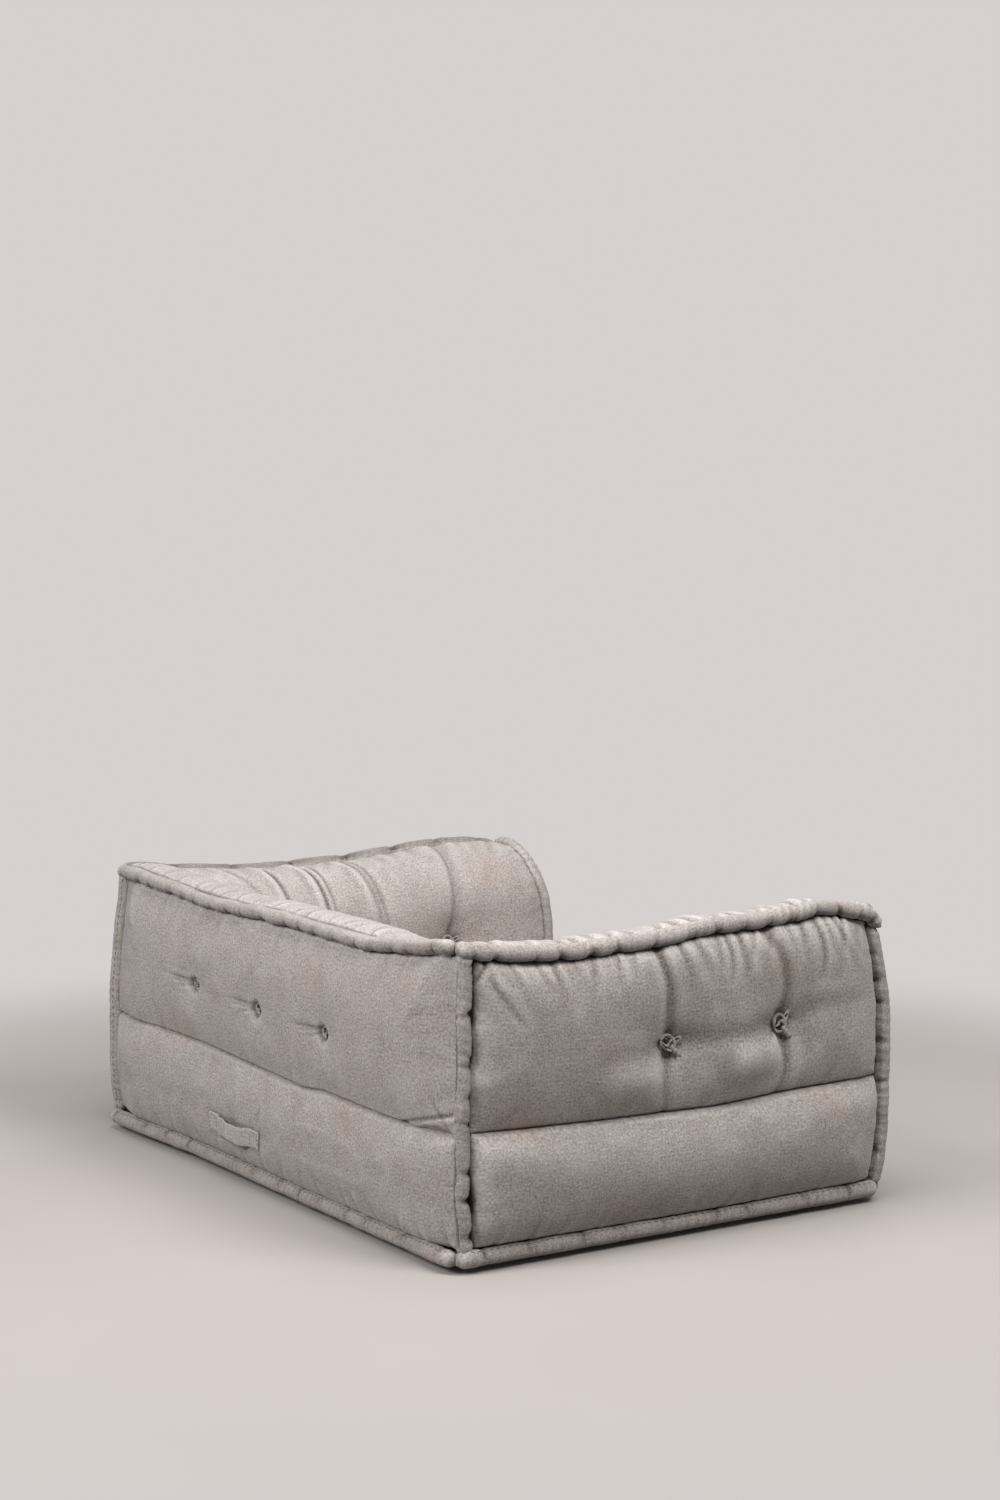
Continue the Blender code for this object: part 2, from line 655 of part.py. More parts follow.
def main():
    """Clear the scene and make the sofa."""
    for old in list(bpy.data.objects):
        bpy.data.objects.remove(old, do_unlink=True)
    finishes = make_finishes()
    empties = {side["name"]: add_empty(side) for side in SIDES}
    make_base(empties, finishes)
    make_seat(finishes)
    for side in WALLS:
        pierced = [
            make_outer_panel(side, empties, finishes),
            make_core(side, empties, finishes),
            make_inner_panel(side, empties, finishes),
        ]
        make_tufts(side, pierced, empties, finishes)
    for arm in ARMS:
        make_end_panel(arm, empties, finishes)
    make_straight_rolls(empties, finishes)
    make_corner_rolls(empties, finishes)
    make_end_rolls(empties, finishes)
    make_strap(empties, finishes)


main()
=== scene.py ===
"""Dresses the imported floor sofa: padded linen panels, stuffed rolled edges, tied rosettes and a strap.

Metres, +Z up. The sofa faces -Y and its back is at +Y. Each side has its own axes, as in the CAD:
s along the side, u inwards from its outer face, and z up.
"""

import math
from dataclasses import dataclass, field

import bmesh
import bpy
import numpy as np
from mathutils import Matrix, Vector


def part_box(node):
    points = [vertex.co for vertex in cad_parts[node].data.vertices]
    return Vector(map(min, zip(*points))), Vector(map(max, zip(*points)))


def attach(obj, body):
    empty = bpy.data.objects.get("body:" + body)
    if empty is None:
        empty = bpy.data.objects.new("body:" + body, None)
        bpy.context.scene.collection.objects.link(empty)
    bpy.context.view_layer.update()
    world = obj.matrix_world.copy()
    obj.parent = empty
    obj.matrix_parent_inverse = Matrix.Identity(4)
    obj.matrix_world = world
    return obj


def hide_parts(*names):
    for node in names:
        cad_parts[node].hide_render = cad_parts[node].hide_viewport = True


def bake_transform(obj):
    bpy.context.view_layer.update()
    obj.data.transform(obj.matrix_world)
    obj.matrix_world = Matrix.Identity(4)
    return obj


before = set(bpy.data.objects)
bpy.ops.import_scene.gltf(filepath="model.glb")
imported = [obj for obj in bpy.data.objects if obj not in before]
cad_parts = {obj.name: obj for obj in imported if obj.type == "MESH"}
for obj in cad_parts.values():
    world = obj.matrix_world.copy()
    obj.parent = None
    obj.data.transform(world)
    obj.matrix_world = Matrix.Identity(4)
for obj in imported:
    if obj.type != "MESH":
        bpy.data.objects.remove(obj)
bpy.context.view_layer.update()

bl_info = {
    "name": "Floor Sofa Dresser",
    "version": (1, 0, 0),
    "blender": (4, 5, 0),
    "location": "3D View > Sidebar > Floor Sofa",
    "description": "Dresses a packed floor sofa in tufted linen with rolled edges",
    "category": "Object",
}


def middle(node):
    """Middle of a CAD node's box."""
    low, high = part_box(node)
    return (low + high) / 2


def nodes_named(start):
    """CAD nodes whose names begin with a word, in order."""
    return sorted(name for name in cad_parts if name.startswith(start))


# Sizes from the frame
ROLL_INSET = 0.012
ROLL_RADIUS = (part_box("bottom_roll_back")[1].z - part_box("bottom_roll_back")[0].z) / 2
HALF_WIDTH = middle("bottom_roll_left_arm").x + ROLL_INSET
HALF_DEPTH = middle("bottom_roll_back").y + ROLL_INSET
BOTTOM_ROLL_MIDDLE = middle("bottom_roll_back").z
BOTTOM_ROLL_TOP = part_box("bottom_roll_back")[1].z
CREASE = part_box("base_band_back")[1].z
TOP_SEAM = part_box("top_roll_back")[0].z
ROLL_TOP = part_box("top_roll_back")[1].z
TOP_ROLL_MIDDLE = middle("top_roll_back").z
SEAT_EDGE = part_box("seat_front_roll")[1].z
SEAT_LOW, SEAT_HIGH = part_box("seat_top")
UNDERSIDE_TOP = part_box("bottom_cloth")[1].z
GRIP_LOW, GRIP_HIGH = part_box("strap_grip")

# Sizes of the walls and their padding, as in the CAD
WALL = 0.20
SHOULDER = 0.15
INNER_RISE = ROLL_TOP - SHOULDER - CREASE  # a wall's inside: straight up, round, and level to its roll
INNER_ARC = SHOULDER * math.pi / 2
INNER_LEVEL = WALL - SHOULDER - ROLL_INSET - ROLL_RADIUS
INNER_LENGTH = INNER_RISE + INNER_ARC + INNER_LEVEL
CORNER_INSET = 0.020
CORNER_WRAP = 0.016
BACK_INSET = 0.015  # the back's panels reach this near to the corners
PAD = 0.042
RIM = PAD * 0.6  # how far a panel's rim goes in behind its seams
WALL_CROWN = 0.022
WALL_ROUND = 0.110
BACK_CROWN = 0.014  # the back is flatter than the arms
BAND_CROWN = 0.030
BAND_ROUND = 0.090
BACK_BAND_CROWN = 0.018  # the band under the strap stays as flat as in the CAD
CORNER_REACH = 0.150
SEAT_CROWN = 0.020
SEAT_ROUND = 0.120
TUFT_DISC = 0.011  # radius of a tuft's floor, where its tie holds the cloth down
GROOVE = 0.0065  # how fast a panel rises out of its seam
SEAM_LOBE = 0.045  # length of a lobe in a wavering seam
SEAM_WAVER = 0.0045
SEAM_LAP = 0.004  # how far a panel reaches under a roll
SEWN_REACH = 0.007  # how far from a seam the cloth is held down

# How dark the cloth is where little light comes, from 0 to 1
CREASE_SHADE = 0.30  # in a fold
FINE_FOLD = 0.006  # a fold that is wider than this has less shade
TUFT_SHADE = 0.85
TUFT_SHADE_REACH = 0.015
ROSETTE_SHADE = 0.9  # on the underside of a rosette's scraps
STRAP_SHADE = 0.30  # round the strap's sewn ends
STRAP_SHADE_REACH = 0.005
STRAP_SHADE_DROP = 0.006  # it reaches this much further below them
CREASE_TONE = 0.15  # in the crease between walls and base, which is soft
SHADE_WAVER = 0.35  # how much the shade in a seam widens and narrows along it
SHADE_LOBE = 0.026  # length of a widening

# The camera that took the photograph; its lens and sensor are in millimetres
CAMERA_PLACE = (-5.246, 3.323, 1.554)
CAMERA_FORWARD = (0.8368, -0.5372, -0.1052)
CAMERA_LENS = 70.03
CAMERA_SENSOR = 36.0

# Steps of the cloth grids, from a seam inwards
SEAM_STEPS = (0.0, 0.003, 0.0065, 0.011, 0.017, 0.025)

# How the hand-sewn sofa has settled: (place along a side, rise) at the top seam and at the crease
TOP_RISE = {
    "back": ((-0.70, -0.001), (-0.60, -0.002), (-0.49, -0.008), (-0.26, -0.015), (-0.12, -0.013),
             (-0.04, -0.008), (0.31, -0.007), (0.42, -0.007), (0.55, 0.008), (0.63, 0.030), (0.70, 0.060)),
    "right_arm": ((-0.50, -0.008), (-0.40, -0.008), (-0.24, -0.006), (-0.15, 0.0), (-0.08, 0.001),
                  (0.0, 0.009), (0.05, 0.016), (0.18, 0.018), (0.28, 0.025), (0.35, 0.037), (0.41, 0.033),
                  (0.52, 0.013)),
    "left_arm": ((-0.52, -0.040), (-0.44, -0.016), (-0.35, -0.008), (-0.25, -0.012), (-0.055, -0.028),
                 (0.17, -0.032), (0.36, -0.020), (0.50, -0.002)),
    "front": ((-0.70, 0.0), (0.70, 0.0)),
}
CREASE_RISE = {
    "back": ((-0.66, 0.002), (-0.49, 0.006), (-0.30, 0.004), (-0.02, -0.005), (0.15, -0.011), (0.24, -0.002),
             (0.39, -0.005), (0.50, -0.006), (0.70, 0.0)),
    "right_arm": ((-0.51, 0.002), (-0.38, -0.005), (-0.20, -0.011), (-0.05, -0.015), (0.09, -0.018),
                  (0.20, -0.014), (0.30, -0.009), (0.50, -0.007)),
    "left_arm": ((-0.52, 0.0), (0.50, 0.002)),
    "front": ((-0.70, 0.0), (0.70, 0.0)),
}
SETTLE_REACH = 0.10  # how far into the sofa a side's rise is felt
FRONT_PULL_TOP = 0.030  # the arms' front ends lean back at the top
FRONT_PULL_FOOT = 0.014  # and the whole front at its foot
FRONT_PULL_REACH = 0.30
FRONT_TOP_FROM = 0.38  # height from which the top leans back
FRONT_FOOT_UNDER = 0.16  # height under which the foot does
FRONT_BULGE = 0.010  # between the two, the arms' front ends bulge
ARM_FROM = 0.40  # from here to the sides it is an arm and not the seat
ARM_REACH = 0.15
FLARE = (0.014, 0.018)  # how far the far rear corner spreads in x and y at its foot
FLARE_FROM = (0.25, 0.15)  # where the spread starts in x and y
FLARE_REACH = (0.45, 0.35)
FLARE_TOP = ROLL_TOP + 0.04
FLARE_HEIGHT = 0.36
FREE_CORNER = (0.004, 0.008)  # the far rear corner roll stands free of the back
FLOOR_LIFT = 0.0004

# Sway of the rear corner rolls: (height, how far forward)
CORNER_SWAY = ((0.03, 0.005), (0.15, -0.004), (0.26, -0.003), (0.42, 0.0), (0.58, 0.004))


@dataclass
class Side:
    """One side of the sofa with its own axes."""
    name: str
    foot: tuple
    along: tuple
    inward: tuple
    half: float

    def place(self, s, u, z):
        """World points of arrays of s, u and z."""
        x = self.foot[0] + s * self.along[0] + u * self.inward[0]
        y = self.foot[1] + s * self.along[1] + u * self.inward[1]
        return np.stack(np.broadcast_arrays(x, y, z), axis=-1).astype(float)

    def local(self, point):
        """The s and z of a world point."""
        s = (point[0] - self.foot[0]) * self.along[0] + (point[1] - self.foot[1]) * self.along[1]
        return s, point[2]


BACK = Side("back", (0, HALF_DEPTH), (-1, 0), (0, -1), HALF_WIDTH)
RIGHT_ARM = Side("right_arm", (-HALF_WIDTH, 0), (0, -1), (1, 0), HALF_DEPTH)
LEFT_ARM = Side("left_arm", (HALF_WIDTH, 0), (0, 1), (-1, 0), HALF_DEPTH)
FRONT = Side("front", (0, -HALF_DEPTH), (1, 0), (0, 1), HALF_WIDTH)
WALLS = (BACK, RIGHT_ARM, LEFT_ARM)
ARMS = (RIGHT_ARM, LEFT_ARM)
SIDES = (BACK, RIGHT_ARM, LEFT_ARM, FRONT)


# Small helpers

def smooth(value):
    """A soft step from 0 to 1."""
    t = np.clip(value, 0.0, 1.0)
    return t * t * (3 - 2 * t)


def patchy(seed, a, b):
    """Soft seeded noise from -1 to 1 on arrays of plane coordinates, one cell per unit."""
    size = 64
    table = np.random.default_rng(seed).uniform(-1, 1, (size, size))
    low_a = np.floor(a).astype(int)
    low_b = np.floor(b).astype(int)
    part_a = smooth(a - low_a)
    part_b = smooth(b - low_b)

    def along(column):
        first = table[low_a % size, column % size]
        last = table[(low_a + 1) % size, column % size]
        return first * (1 - part_a) + last * part_a

    return along(low_b) * (1 - part_b) + along(low_b + 1) * part_b


def wavering(seed, along, lobe, line=0.5):
    """Seeded noise along a seam or a roll, with lobes of a length; another line gives other noise."""
    return patchy(seed, along / lobe, 0.0 * along + line)


def settle(points):
    """Moves world points as the hand-sewn sofa has settled."""
    points = np.array(points, dtype=float)
    x, y, z = points[..., 0], points[..., 1], points[..., 2]
    nearness = []
    rises = []
    for side in SIDES:
        s = (x - side.foot[0]) * side.along[0] + (y - side.foot[1]) * side.along[1]
        depth = (x - side.foot[0]) * side.inward[0] + (y - side.foot[1]) * side.inward[1]
        top_rise = np.interp(s, *zip(*TOP_RISE[side.name]))
        crease_rise = np.interp(s, *zip(*CREASE_RISE[side.name]))
        low_part = np.clip(z / CREASE, 0, 1)
        high_part = smooth((z - CREASE) / (TOP_SEAM - CREASE))
        rises.append(crease_rise * low_part * (1 - high_part) + top_rise * high_part)
        nearness.append(np.exp(-np.maximum(depth, 0) / SETTLE_REACH))
    weights = np.array(nearness) / np.sum(nearness, axis=0)
    rise = np.sum(weights * np.array(rises), axis=0)
    near_front = smooth((-y - HALF_DEPTH + FRONT_PULL_REACH) / FRONT_PULL_REACH)
    on_arm = smooth((np.abs(x) - ARM_FROM) / ARM_REACH)
    at_top = smooth((z - FRONT_TOP_FROM) / (ROLL_TOP - FRONT_TOP_FROM))
    at_foot = smooth((FRONT_FOOT_UNDER - z) / FRONT_FOOT_UNDER)
    at_belly = np.sin(math.pi * np.clip(z / ROLL_TOP, 0, 1))
    points[..., 1] += near_front * (FRONT_PULL_TOP * at_top * on_arm + FRONT_PULL_FOOT * at_foot)
    points[..., 1] -= near_front * FRONT_BULGE * at_belly * on_arm
    flare = smooth((x - FLARE_FROM[0]) / FLARE_REACH[0])
    flare *= smooth((y - FLARE_FROM[1]) / FLARE_REACH[1])
    flare *= smooth((FLARE_TOP - z) / FLARE_HEIGHT)
    points[..., 0] += FLARE[0] * flare
    points[..., 1] += FLARE[1] * flare
    points[..., 2] = np.maximum(z + rise, FLOOR_LIFT)
    return points


def unit(vectors):
    """Vectors of length 1 that point the same way."""
    return vectors / np.linalg.norm(vectors, axis=-1, keepdims=True)


def grid_normals(grid, wrap=False):
    """Unit normals of a grid of points."""
    across = np.gradient(grid, axis=1)
    if wrap:
        across = np.roll(grid, -1, axis=1) - np.roll(grid, 1, axis=1)
    normal = np.cross(np.gradient(grid, axis=0), across)
    return normal / np.maximum(np.linalg.norm(normal, axis=-1, keepdims=True), 1e-12)


def blurred(grid, rounds, wrap=False):
    """A grid averaged with its neighbours a number of times."""
    for _ in range(rounds):
        padded = np.pad(grid, ((1, 1), (0, 0), (0, 0)), mode="edge")
        grid = (padded[:-2] + 2 * grid + padded[2:]) / 4
        mode = "wrap" if wrap else "edge"
        padded = np.pad(grid, ((0, 0), (1, 1), (0, 0)), mode=mode)
        grid = (padded[:, :-2] + 2 * grid + padded[:, 2:]) / 4
    return grid


def folds_of(grid, normals, wrap=False):
    """How far each point stands proud of, or sinks below, its surroundings, from 1 to -1."""
    full_fold = 0.0020
    rounds = 10
    rise = np.sum((grid - blurred(grid, rounds, wrap)) * normals, axis=-1)
    if wrap:
        rise = rise - rise.mean()
    return np.clip(rise / full_fold, -1, 1)


def bell(distance, width):
    """A bump of height 1 that falls off to both sides."""
    return np.exp(-(distance / width) ** 2)


def dark(distance, reach):
    """Full shade near a seam, a tuft or a fold, that has gone at its reach."""
    return 1 - smooth(2 * np.abs(distance) / reach - 1)


def doubled(grid):
    """A grid with a smooth row and column put between each two."""
    for axis in (0, 1):
        grid = np.moveaxis(grid, axis, 0)
        before = np.concatenate([2 * grid[:1] - grid[1:2], grid[:-2]])
        after = np.concatenate([grid[2:], 2 * grid[-1:] - grid[-2:-1]])
        between = (9 * (grid[:-1] + grid[1:]) - before - after) / 16
        fine = np.empty((2 * len(grid) - 1, *grid.shape[1:]))
        fine[0::2] = grid
        fine[1::2] = between
        grid = np.moveaxis(fine, 0, axis)
    return grid


def quads(rows, columns, wrap=False):
    """Faces of a grid of points, as rows of four indices."""
    index = np.arange(rows * columns).reshape(rows, columns)
    right = np.roll(index, -1, axis=1) if wrap else index[:, 1:]
    left = index if wrap else index[:, :-1]
    faces = np.stack([left[:-1], left[1:], right[1:], right[:-1]], axis=-1)
    return faces.reshape(-1, 4)


def new_object(name, data):
    """A new object in the scene."""
    thing = bpy.data.objects.new(name, data)
    bpy.context.scene.collection.objects.link(thing)
    return thing


def new_piece(name, points, faces, uv, folds, material, shade=None):
    """A smooth mesh object with metre UVs, and its folds and the shade in its seams as attributes."""
    mesh = bpy.data.meshes.new(name)
    mesh.from_pydata(points.reshape(-1, 3).tolist(), [], [list(map(int, face)) for face in faces])
    corners = np.zeros(len(mesh.loops), dtype=np.int32)
    mesh.loops.foreach_get("vertex_index", corners)
    layer = mesh.uv_layers.new(name="UVMap")
    layer.data.foreach_set("uv", uv.reshape(-1, 2)[corners].astype(np.float32).ravel())
    shade = np.zeros(folds.size) if shade is None else shade
    for title, values in (("fold", folds), ("shade", shade)):
        attribute = mesh.attributes.new(title, "FLOAT", "POINT")
        attribute.data.foreach_set("value", np.asarray(values).ravel().astype(np.float32))
    mesh.materials.append(material)
    mesh.shade_smooth()
    mesh.update()
    return new_object(name, mesh)


def hand_over(piece, body, nodes):
    """Tells the frame which body a piece rides on, and the CAD nodes that it stands for."""
    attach(piece, body)
    if nodes:
        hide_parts(*nodes)
    return piece


# Materials

GRAIN = 0.88  # strength of the linen's fine speckle
WASH_SIZE = 0.06  # of a mottle from washing
WASH_TONE = 0.24  # how much it lightens or darkens the cloth
# a ridge is paler from wear and a painted highlight, and a valley darker with painted shade
FOLD_WEAR_AND_SHADE = 0.22  # how much a ridge is paler and a valley darker
STAIN_SIZE = 0.16
STAIN_FROM = 0.56  # the noise at which a stain starts, and at which it is full
STAIN_FULL = 0.74
STAIN_TONE = 0.35  # share of its tint that a full stain has
FOAM_CELL_SIZE = 0.004  # drawn about four times as coarse as real, so that it shows
FLOOR_CLOUD = 0.5  # size of a cloud in the floor's paint
BOUNCE = 0.45  # share of the floor's colour in the light that it throws back


def colour(hex_text):
    """Linear colour of an sRGB hex value."""
    channels = [int(hex_text[place:place + 2], 16) / 255 for place in (1, 3, 5)]
    linear = [c / 12.92 if c <= 0.04045 else ((c + 0.055) / 1.055) ** 2.4 for c in channels]
    return tuple(linear)


def add_node(tree, kind, links=None, **settings):
    """Adds a shader node with its settings; links maps a socket to a value or to another node's output."""
    node = tree.nodes.new("ShaderNode" + kind)
    for name, value in settings.items():
        setattr(node, name, value)
    for socket, source in (links or {}).items():
        if isinstance(source, bpy.types.NodeSocket):
            tree.links.new(source, node.inputs[socket])
        else:
            node.inputs[socket].default_value = source
    return node


def new_material(name):
    """An empty node material with its shader."""
    material = bpy.data.materials.new(name)
    material.use_nodes = True
    tree = material.node_tree
    shader = tree.nodes["Principled BSDF"]
    return material, tree, shader


def woven_cloth(name, colours, cloth, thread, slub, contrast, bump):
    """A plain weave of uneven yarns. The eye gets crossed streaks of thick and thin yarn, soft mottling
    from washing, faint warm stains, ridges paler where folds rub and with a painted highlight, painted shade
    in the valleys, and near-black painted shade deep in seams and tufts. The yarn is about 1 mm; it is drawn
    four times as coarse, because a pixel of the picture covers 2 to 3 mm. thread is the width of a yarn as
    drawn, and slub the length of a thick place in it."""
    material, tree, shader = new_material(name)
    place = add_node(tree, "UVMap", uv_map="UVMap").outputs["UV"]
    streaks = []
    for stretch in ((1 / thread, 1 / slub, 1.0), (1 / slub, 1 / thread, 1.0)):
        spread = add_node(tree, "Mapping", {"Vector": place, "Scale": stretch})
        yarn = add_node(tree, "TexNoise",
                        {"Vector": spread.outputs["Vector"], "Scale": 1.0, "Detail": 3.0})
        streaks.append(yarn.outputs["Fac"])
    weave = add_node(tree, "Math", {0: streaks[0], 1: streaks[1]}, operation="ADD")
    wash = add_node(tree, "TexNoise",
                    {"Vector": place, "Scale": 1 / WASH_SIZE, "Detail": 4.0, "Roughness": 0.6})
    fold = add_node(tree, "Attribute", attribute_name="fold")
    grain = add_node(tree, "TexNoise", {"Vector": place, "Scale": 1 / thread, "Detail": 2.0})
    even_tone = 0.5 * (1 - GRAIN) - contrast
    crossed = add_node(tree, "Math", {0: weave.outputs[0], 1: contrast, 2: even_tone},
                       operation="MULTIPLY_ADD")
    woven = add_node(tree, "Math", {0: grain.outputs["Fac"], 1: GRAIN, 2: crossed.outputs[0]},
                     operation="MULTIPLY_ADD")
    washed = add_node(tree, "Math", {0: wash.outputs["Fac"], 1: WASH_TONE, 2: -WASH_TONE / 2},
                      operation="MULTIPLY_ADD")
    worn_and_shaded = add_node(tree, "Math", {0: fold.outputs["Fac"], 1: FOLD_WEAR_AND_SHADE, 2: woven.outputs[0]},
                      operation="MULTIPLY_ADD")
    tone = add_node(tree, "Math", {0: worn_and_shaded.outputs[0], 1: washed.outputs[0]}, operation="ADD")
    # the fold attribute paints shade into valleys (linen_deep) and a paler tone on ridges, from wear and a
    # painted highlight
    ramp = add_node(tree, "ValToRGB", {"Fac": tone.outputs[0]})
    ramp.color_ramp.elements[0].color = (*colours.linen_deep, 1)
    ramp.color_ramp.elements[0].position = 0.15
    ramp.color_ramp.elements[1].color = (*colours.linen_light, 1)
    ramp.color_ramp.elements[1].position = 0.80
    ramp.color_ramp.elements.new(0.5).color = (*cloth, 1)
    stain = add_node(tree, "TexNoise", {"Vector": place, "Scale": 1 / STAIN_SIZE, "Detail": 2.0})
    stained = add_node(tree, "MapRange", {"Value": stain.outputs["Fac"], "From Min": STAIN_FROM,
                                          "From Max": STAIN_FULL, "To Max": STAIN_TONE},
                       interpolation_type="SMOOTHSTEP")
    warmed = add_node(tree, "Mix", {0: stained.outputs["Result"], 6: ramp.outputs["Color"],
                                    7: (*colours.stain, 1)},
                      data_type="RGBA", blend_type="MULTIPLY")
    # painted shade: the shade attribute mixes in the near-black crevice colour where seams, tufts, folds,
    # rosettes and the strap shut out the light
    shade = add_node(tree, "Attribute", attribute_name="shade")
    shaded = add_node(tree, "Mix", {0: shade.outputs["Fac"], 6: warmed.outputs[2],
                                    7: (*colours.crevice, 1)}, data_type="RGBA")
    tree.links.new(shaded.outputs[2], shader.inputs["Base Color"])
    relief = add_node(tree, "Bump", {"Height": weave.outputs[0], "Strength": 0.6, "Distance": bump})
    tree.links.new(relief.outputs["Normal"], shader.inputs["Normal"])
    shader.inputs["Roughness"].default_value = 0.92
    shader.inputs["Specular IOR Level"].default_value = 0.25
    shader.inputs["Sheen Weight"].default_value = 0.12
    shader.inputs["Sheen Roughness"].default_value = 0.5
    return material


def washed_linen(colours):
    """Heavy washed linen of the panels: matt, with slubs as long as a finger."""
    return woven_cloth("washed_linen_slub_weave", colours, colours.linen, 0.0045, 0.020, 0.20, 0.0012)


def roll_linen(colours):
    """The same linen drawn round the stuffed rolls: rubbed paler, the weave pulled tighter."""
    return woven_cloth("washed_linen_drawn_tight", colours, colours.roll, 0.0040, 0.018, 0.20, 0.0010)


def rosette_linen(colours):
    """Twisted scraps of the linen: deep shadow between the turns, and frayed pale edges."""
    return woven_cloth("washed_linen_twisted_scrap", colours, colours.rosette, 0.0030, 0.012, 0.20, 0.0008)


def strap_linen(colours):
    """Folded linen strap: firm and flat, the weave crisp."""
    return woven_cloth("washed_linen_folded_strap", colours, colours.linen, 0.0035, 0.020, 0.25, 0.0008)


def plain_cotton(colours):
    """Dyed cotton under the base: an even weave, flat and dull."""
    return woven_cloth("plain_cotton_dyed", colours, colours.underside, 0.004, 0.012, 0.15, 0.0006)


def waxed_thread(name, deep, light, turn):
    """Waxed linen thread, twisted: slanted darker bands of painted shade between its plies, with a slight
    shine.
    """
    material, tree, shader = new_material(name)
    place = add_node(tree, "UVMap", uv_map="UVMap").outputs["UV"]
    ply = add_node(tree, "TexWave", {"Vector": place, "Scale": 1 / turn, "Distortion": 1.0},
                   wave_type="BANDS", bands_direction="DIAGONAL")
    ramp = add_node(tree, "ValToRGB", {"Fac": ply.outputs["Fac"]})
    ramp.color_ramp.elements[0].color = (*deep, 1)
    ramp.color_ramp.elements[1].color = (*light, 1)
    tree.links.new(ramp.outputs["Color"], shader.inputs["Base Color"])
    shader.inputs["Roughness"].default_value = 0.6
    return material


def stitching_thread(colours):
    """Thread of the seams: thin and slightly shiny, coloured dark as the painted shade of its stitches."""
    return waxed_thread("waxed_linen_thread", [0.7 * c for c in colours.thread], colours.thread, 0.004)


def upholstery_foam(colours):
    """Cut polyurethane foam: pale, with open cells of about a millimetre drawn at 4 mm."""
    material, tree, shader = new_material("polyurethane_foam_cut")
    place = add_node(tree, "TexCoord").outputs["Object"]
    cells = add_node(tree, "TexVoronoi", {"Vector": place, "Scale": 1 / FOAM_CELL_SIZE})
    ramp = add_node(tree, "ValToRGB", {"Fac": cells.outputs["Distance"]})
    ramp.color_ramp.elements[0].color = (*[0.7 * c for c in colours.foam], 1)
    ramp.color_ramp.elements[1].color = (*colours.foam, 1)
    tree.links.new(ramp.outputs["Color"], shader.inputs["Base Color"])
    relief = add_node(tree, "Bump",
                      {"Height": cells.outputs["Distance"], "Strength": 0.5, "Distance": 0.001})
    tree.links.new(relief.outputs["Normal"], shader.inputs["Normal"])
    shader.inputs["Roughness"].default_value = 0.95
    return material


def seen_directly(tree):
    """A factor that is 1 for what the camera, a mirror or a glass shows, and 0 for the light that falls."""
    path = add_node(tree, "LightPath")
    seen = add_node(tree, "Math",
                    {0: path.outputs["Is Camera Ray"], 1: path.outputs["Is Glossy Ray"]}, operation="MAXIMUM")
    seen = add_node(tree, "Math", {0: seen.outputs[0], 1: path.outputs["Is Transmission Ray"]},
                    operation="MAXIMUM")
    return seen.outputs[0]


def rolled_paint(colours, near, far):
    """Matt painted floor with a faint cloudiness from the roller. It takes the sofa's shadow, throws little
    light back, and far from the sofa it passes into the one pale tone of the backdrop."""
    material, tree, shader = new_material("painted_plaster_floor")
    place = add_node(tree, "TexCoord").outputs["Object"]
    cloud = add_node(tree, "TexNoise", {"Vector": place, "Scale": 1 / FLOOR_CLOUD, "Detail": 5.0})
    ramp = add_node(tree, "ValToRGB", {"Fac": cloud.outputs["Fac"]})
    ramp.color_ramp.elements[0].color = (*[0.93 * c for c in colours.floor], 1)
    ramp.color_ramp.elements[1].color = (*colours.floor, 1)
    seen = seen_directly(tree)
    paint = add_node(tree, "Mix", {0: seen, 6: (*[BOUNCE * c for c in colours.floor], 1),
                                   7: ramp.outputs["Color"]}, data_type="RGBA")
    tree.links.new(paint.outputs[2], shader.inputs["Base Color"])
    shader.inputs["Roughness"].default_value = 0.9
    shader.inputs["Specular IOR Level"].default_value = 0.2
    away = add_node(tree, "VectorMath", {0: place}, operation="LENGTH")
    passed = add_node(tree, "MapRange",
                      {"Value": away.outputs["Value"], "From Min": near, "From Max": far},
                      interpolation_type="SMOOTHSTEP")
    shown = add_node(tree, "Math", {0: passed.outputs["Result"], 1: seen}, operation="MULTIPLY")
    glow = add_node(tree, "Emission", {"Color": (*colours.backdrop, 1), "Strength": 1.0})
    pick = add_node(tree, "MixShader", {0: shown.outputs[0], 1: shader.outputs["BSDF"],
                                        2: glow.outputs["Emission"]})
    tree.links.new(pick.outputs["Shader"], tree.nodes["Material Output"].inputs["Surface"])
    return material


# Seam marks, gathers and creases, all in the plane of a panel or along a roll

def marks(seed, start, stop, spacing):
    """Uneven places along a seam: rows of place, strength and lean."""
    rng = np.random.default_rng(seed)
    rows = []
    place = start + spacing * rng.uniform(0.2, 0.8)
    while place < stop:
        rows.append((place, rng.uniform(0.35, 1.0), rng.uniform(-0.5, 0.5)))
        place += spacing * rng.uniform(0.65, 1.35)
    return rows


PLEAT_WIDTH = 0.006  # at the seam
PLEAT_SPREAD = 0.09  # how much a pleat widens on its way
PLEAT_RIDGE = (0.7, 1.7, 1.1)  # height, place and width of the ridge beside a pleat, in shares of its own


def gathers(along, away, rows, depth, reach):
    """Pleats that start at a seam, widen and fade away from it. A strong one is deeper and longer."""
    total = np.zeros_like(along)
    height, beside, wide = PLEAT_RIDGE
    for place, strength, lean in rows:
        width = PLEAT_WIDTH + PLEAT_SPREAD * away
        off = (along - place - lean * away) / width
        pleat = bell(off, 1) - height * bell(off - beside, wide)
        total -= depth * strength * pleat * np.exp(-away / (reach * (0.6 + 0.8 * strength)))
    return total


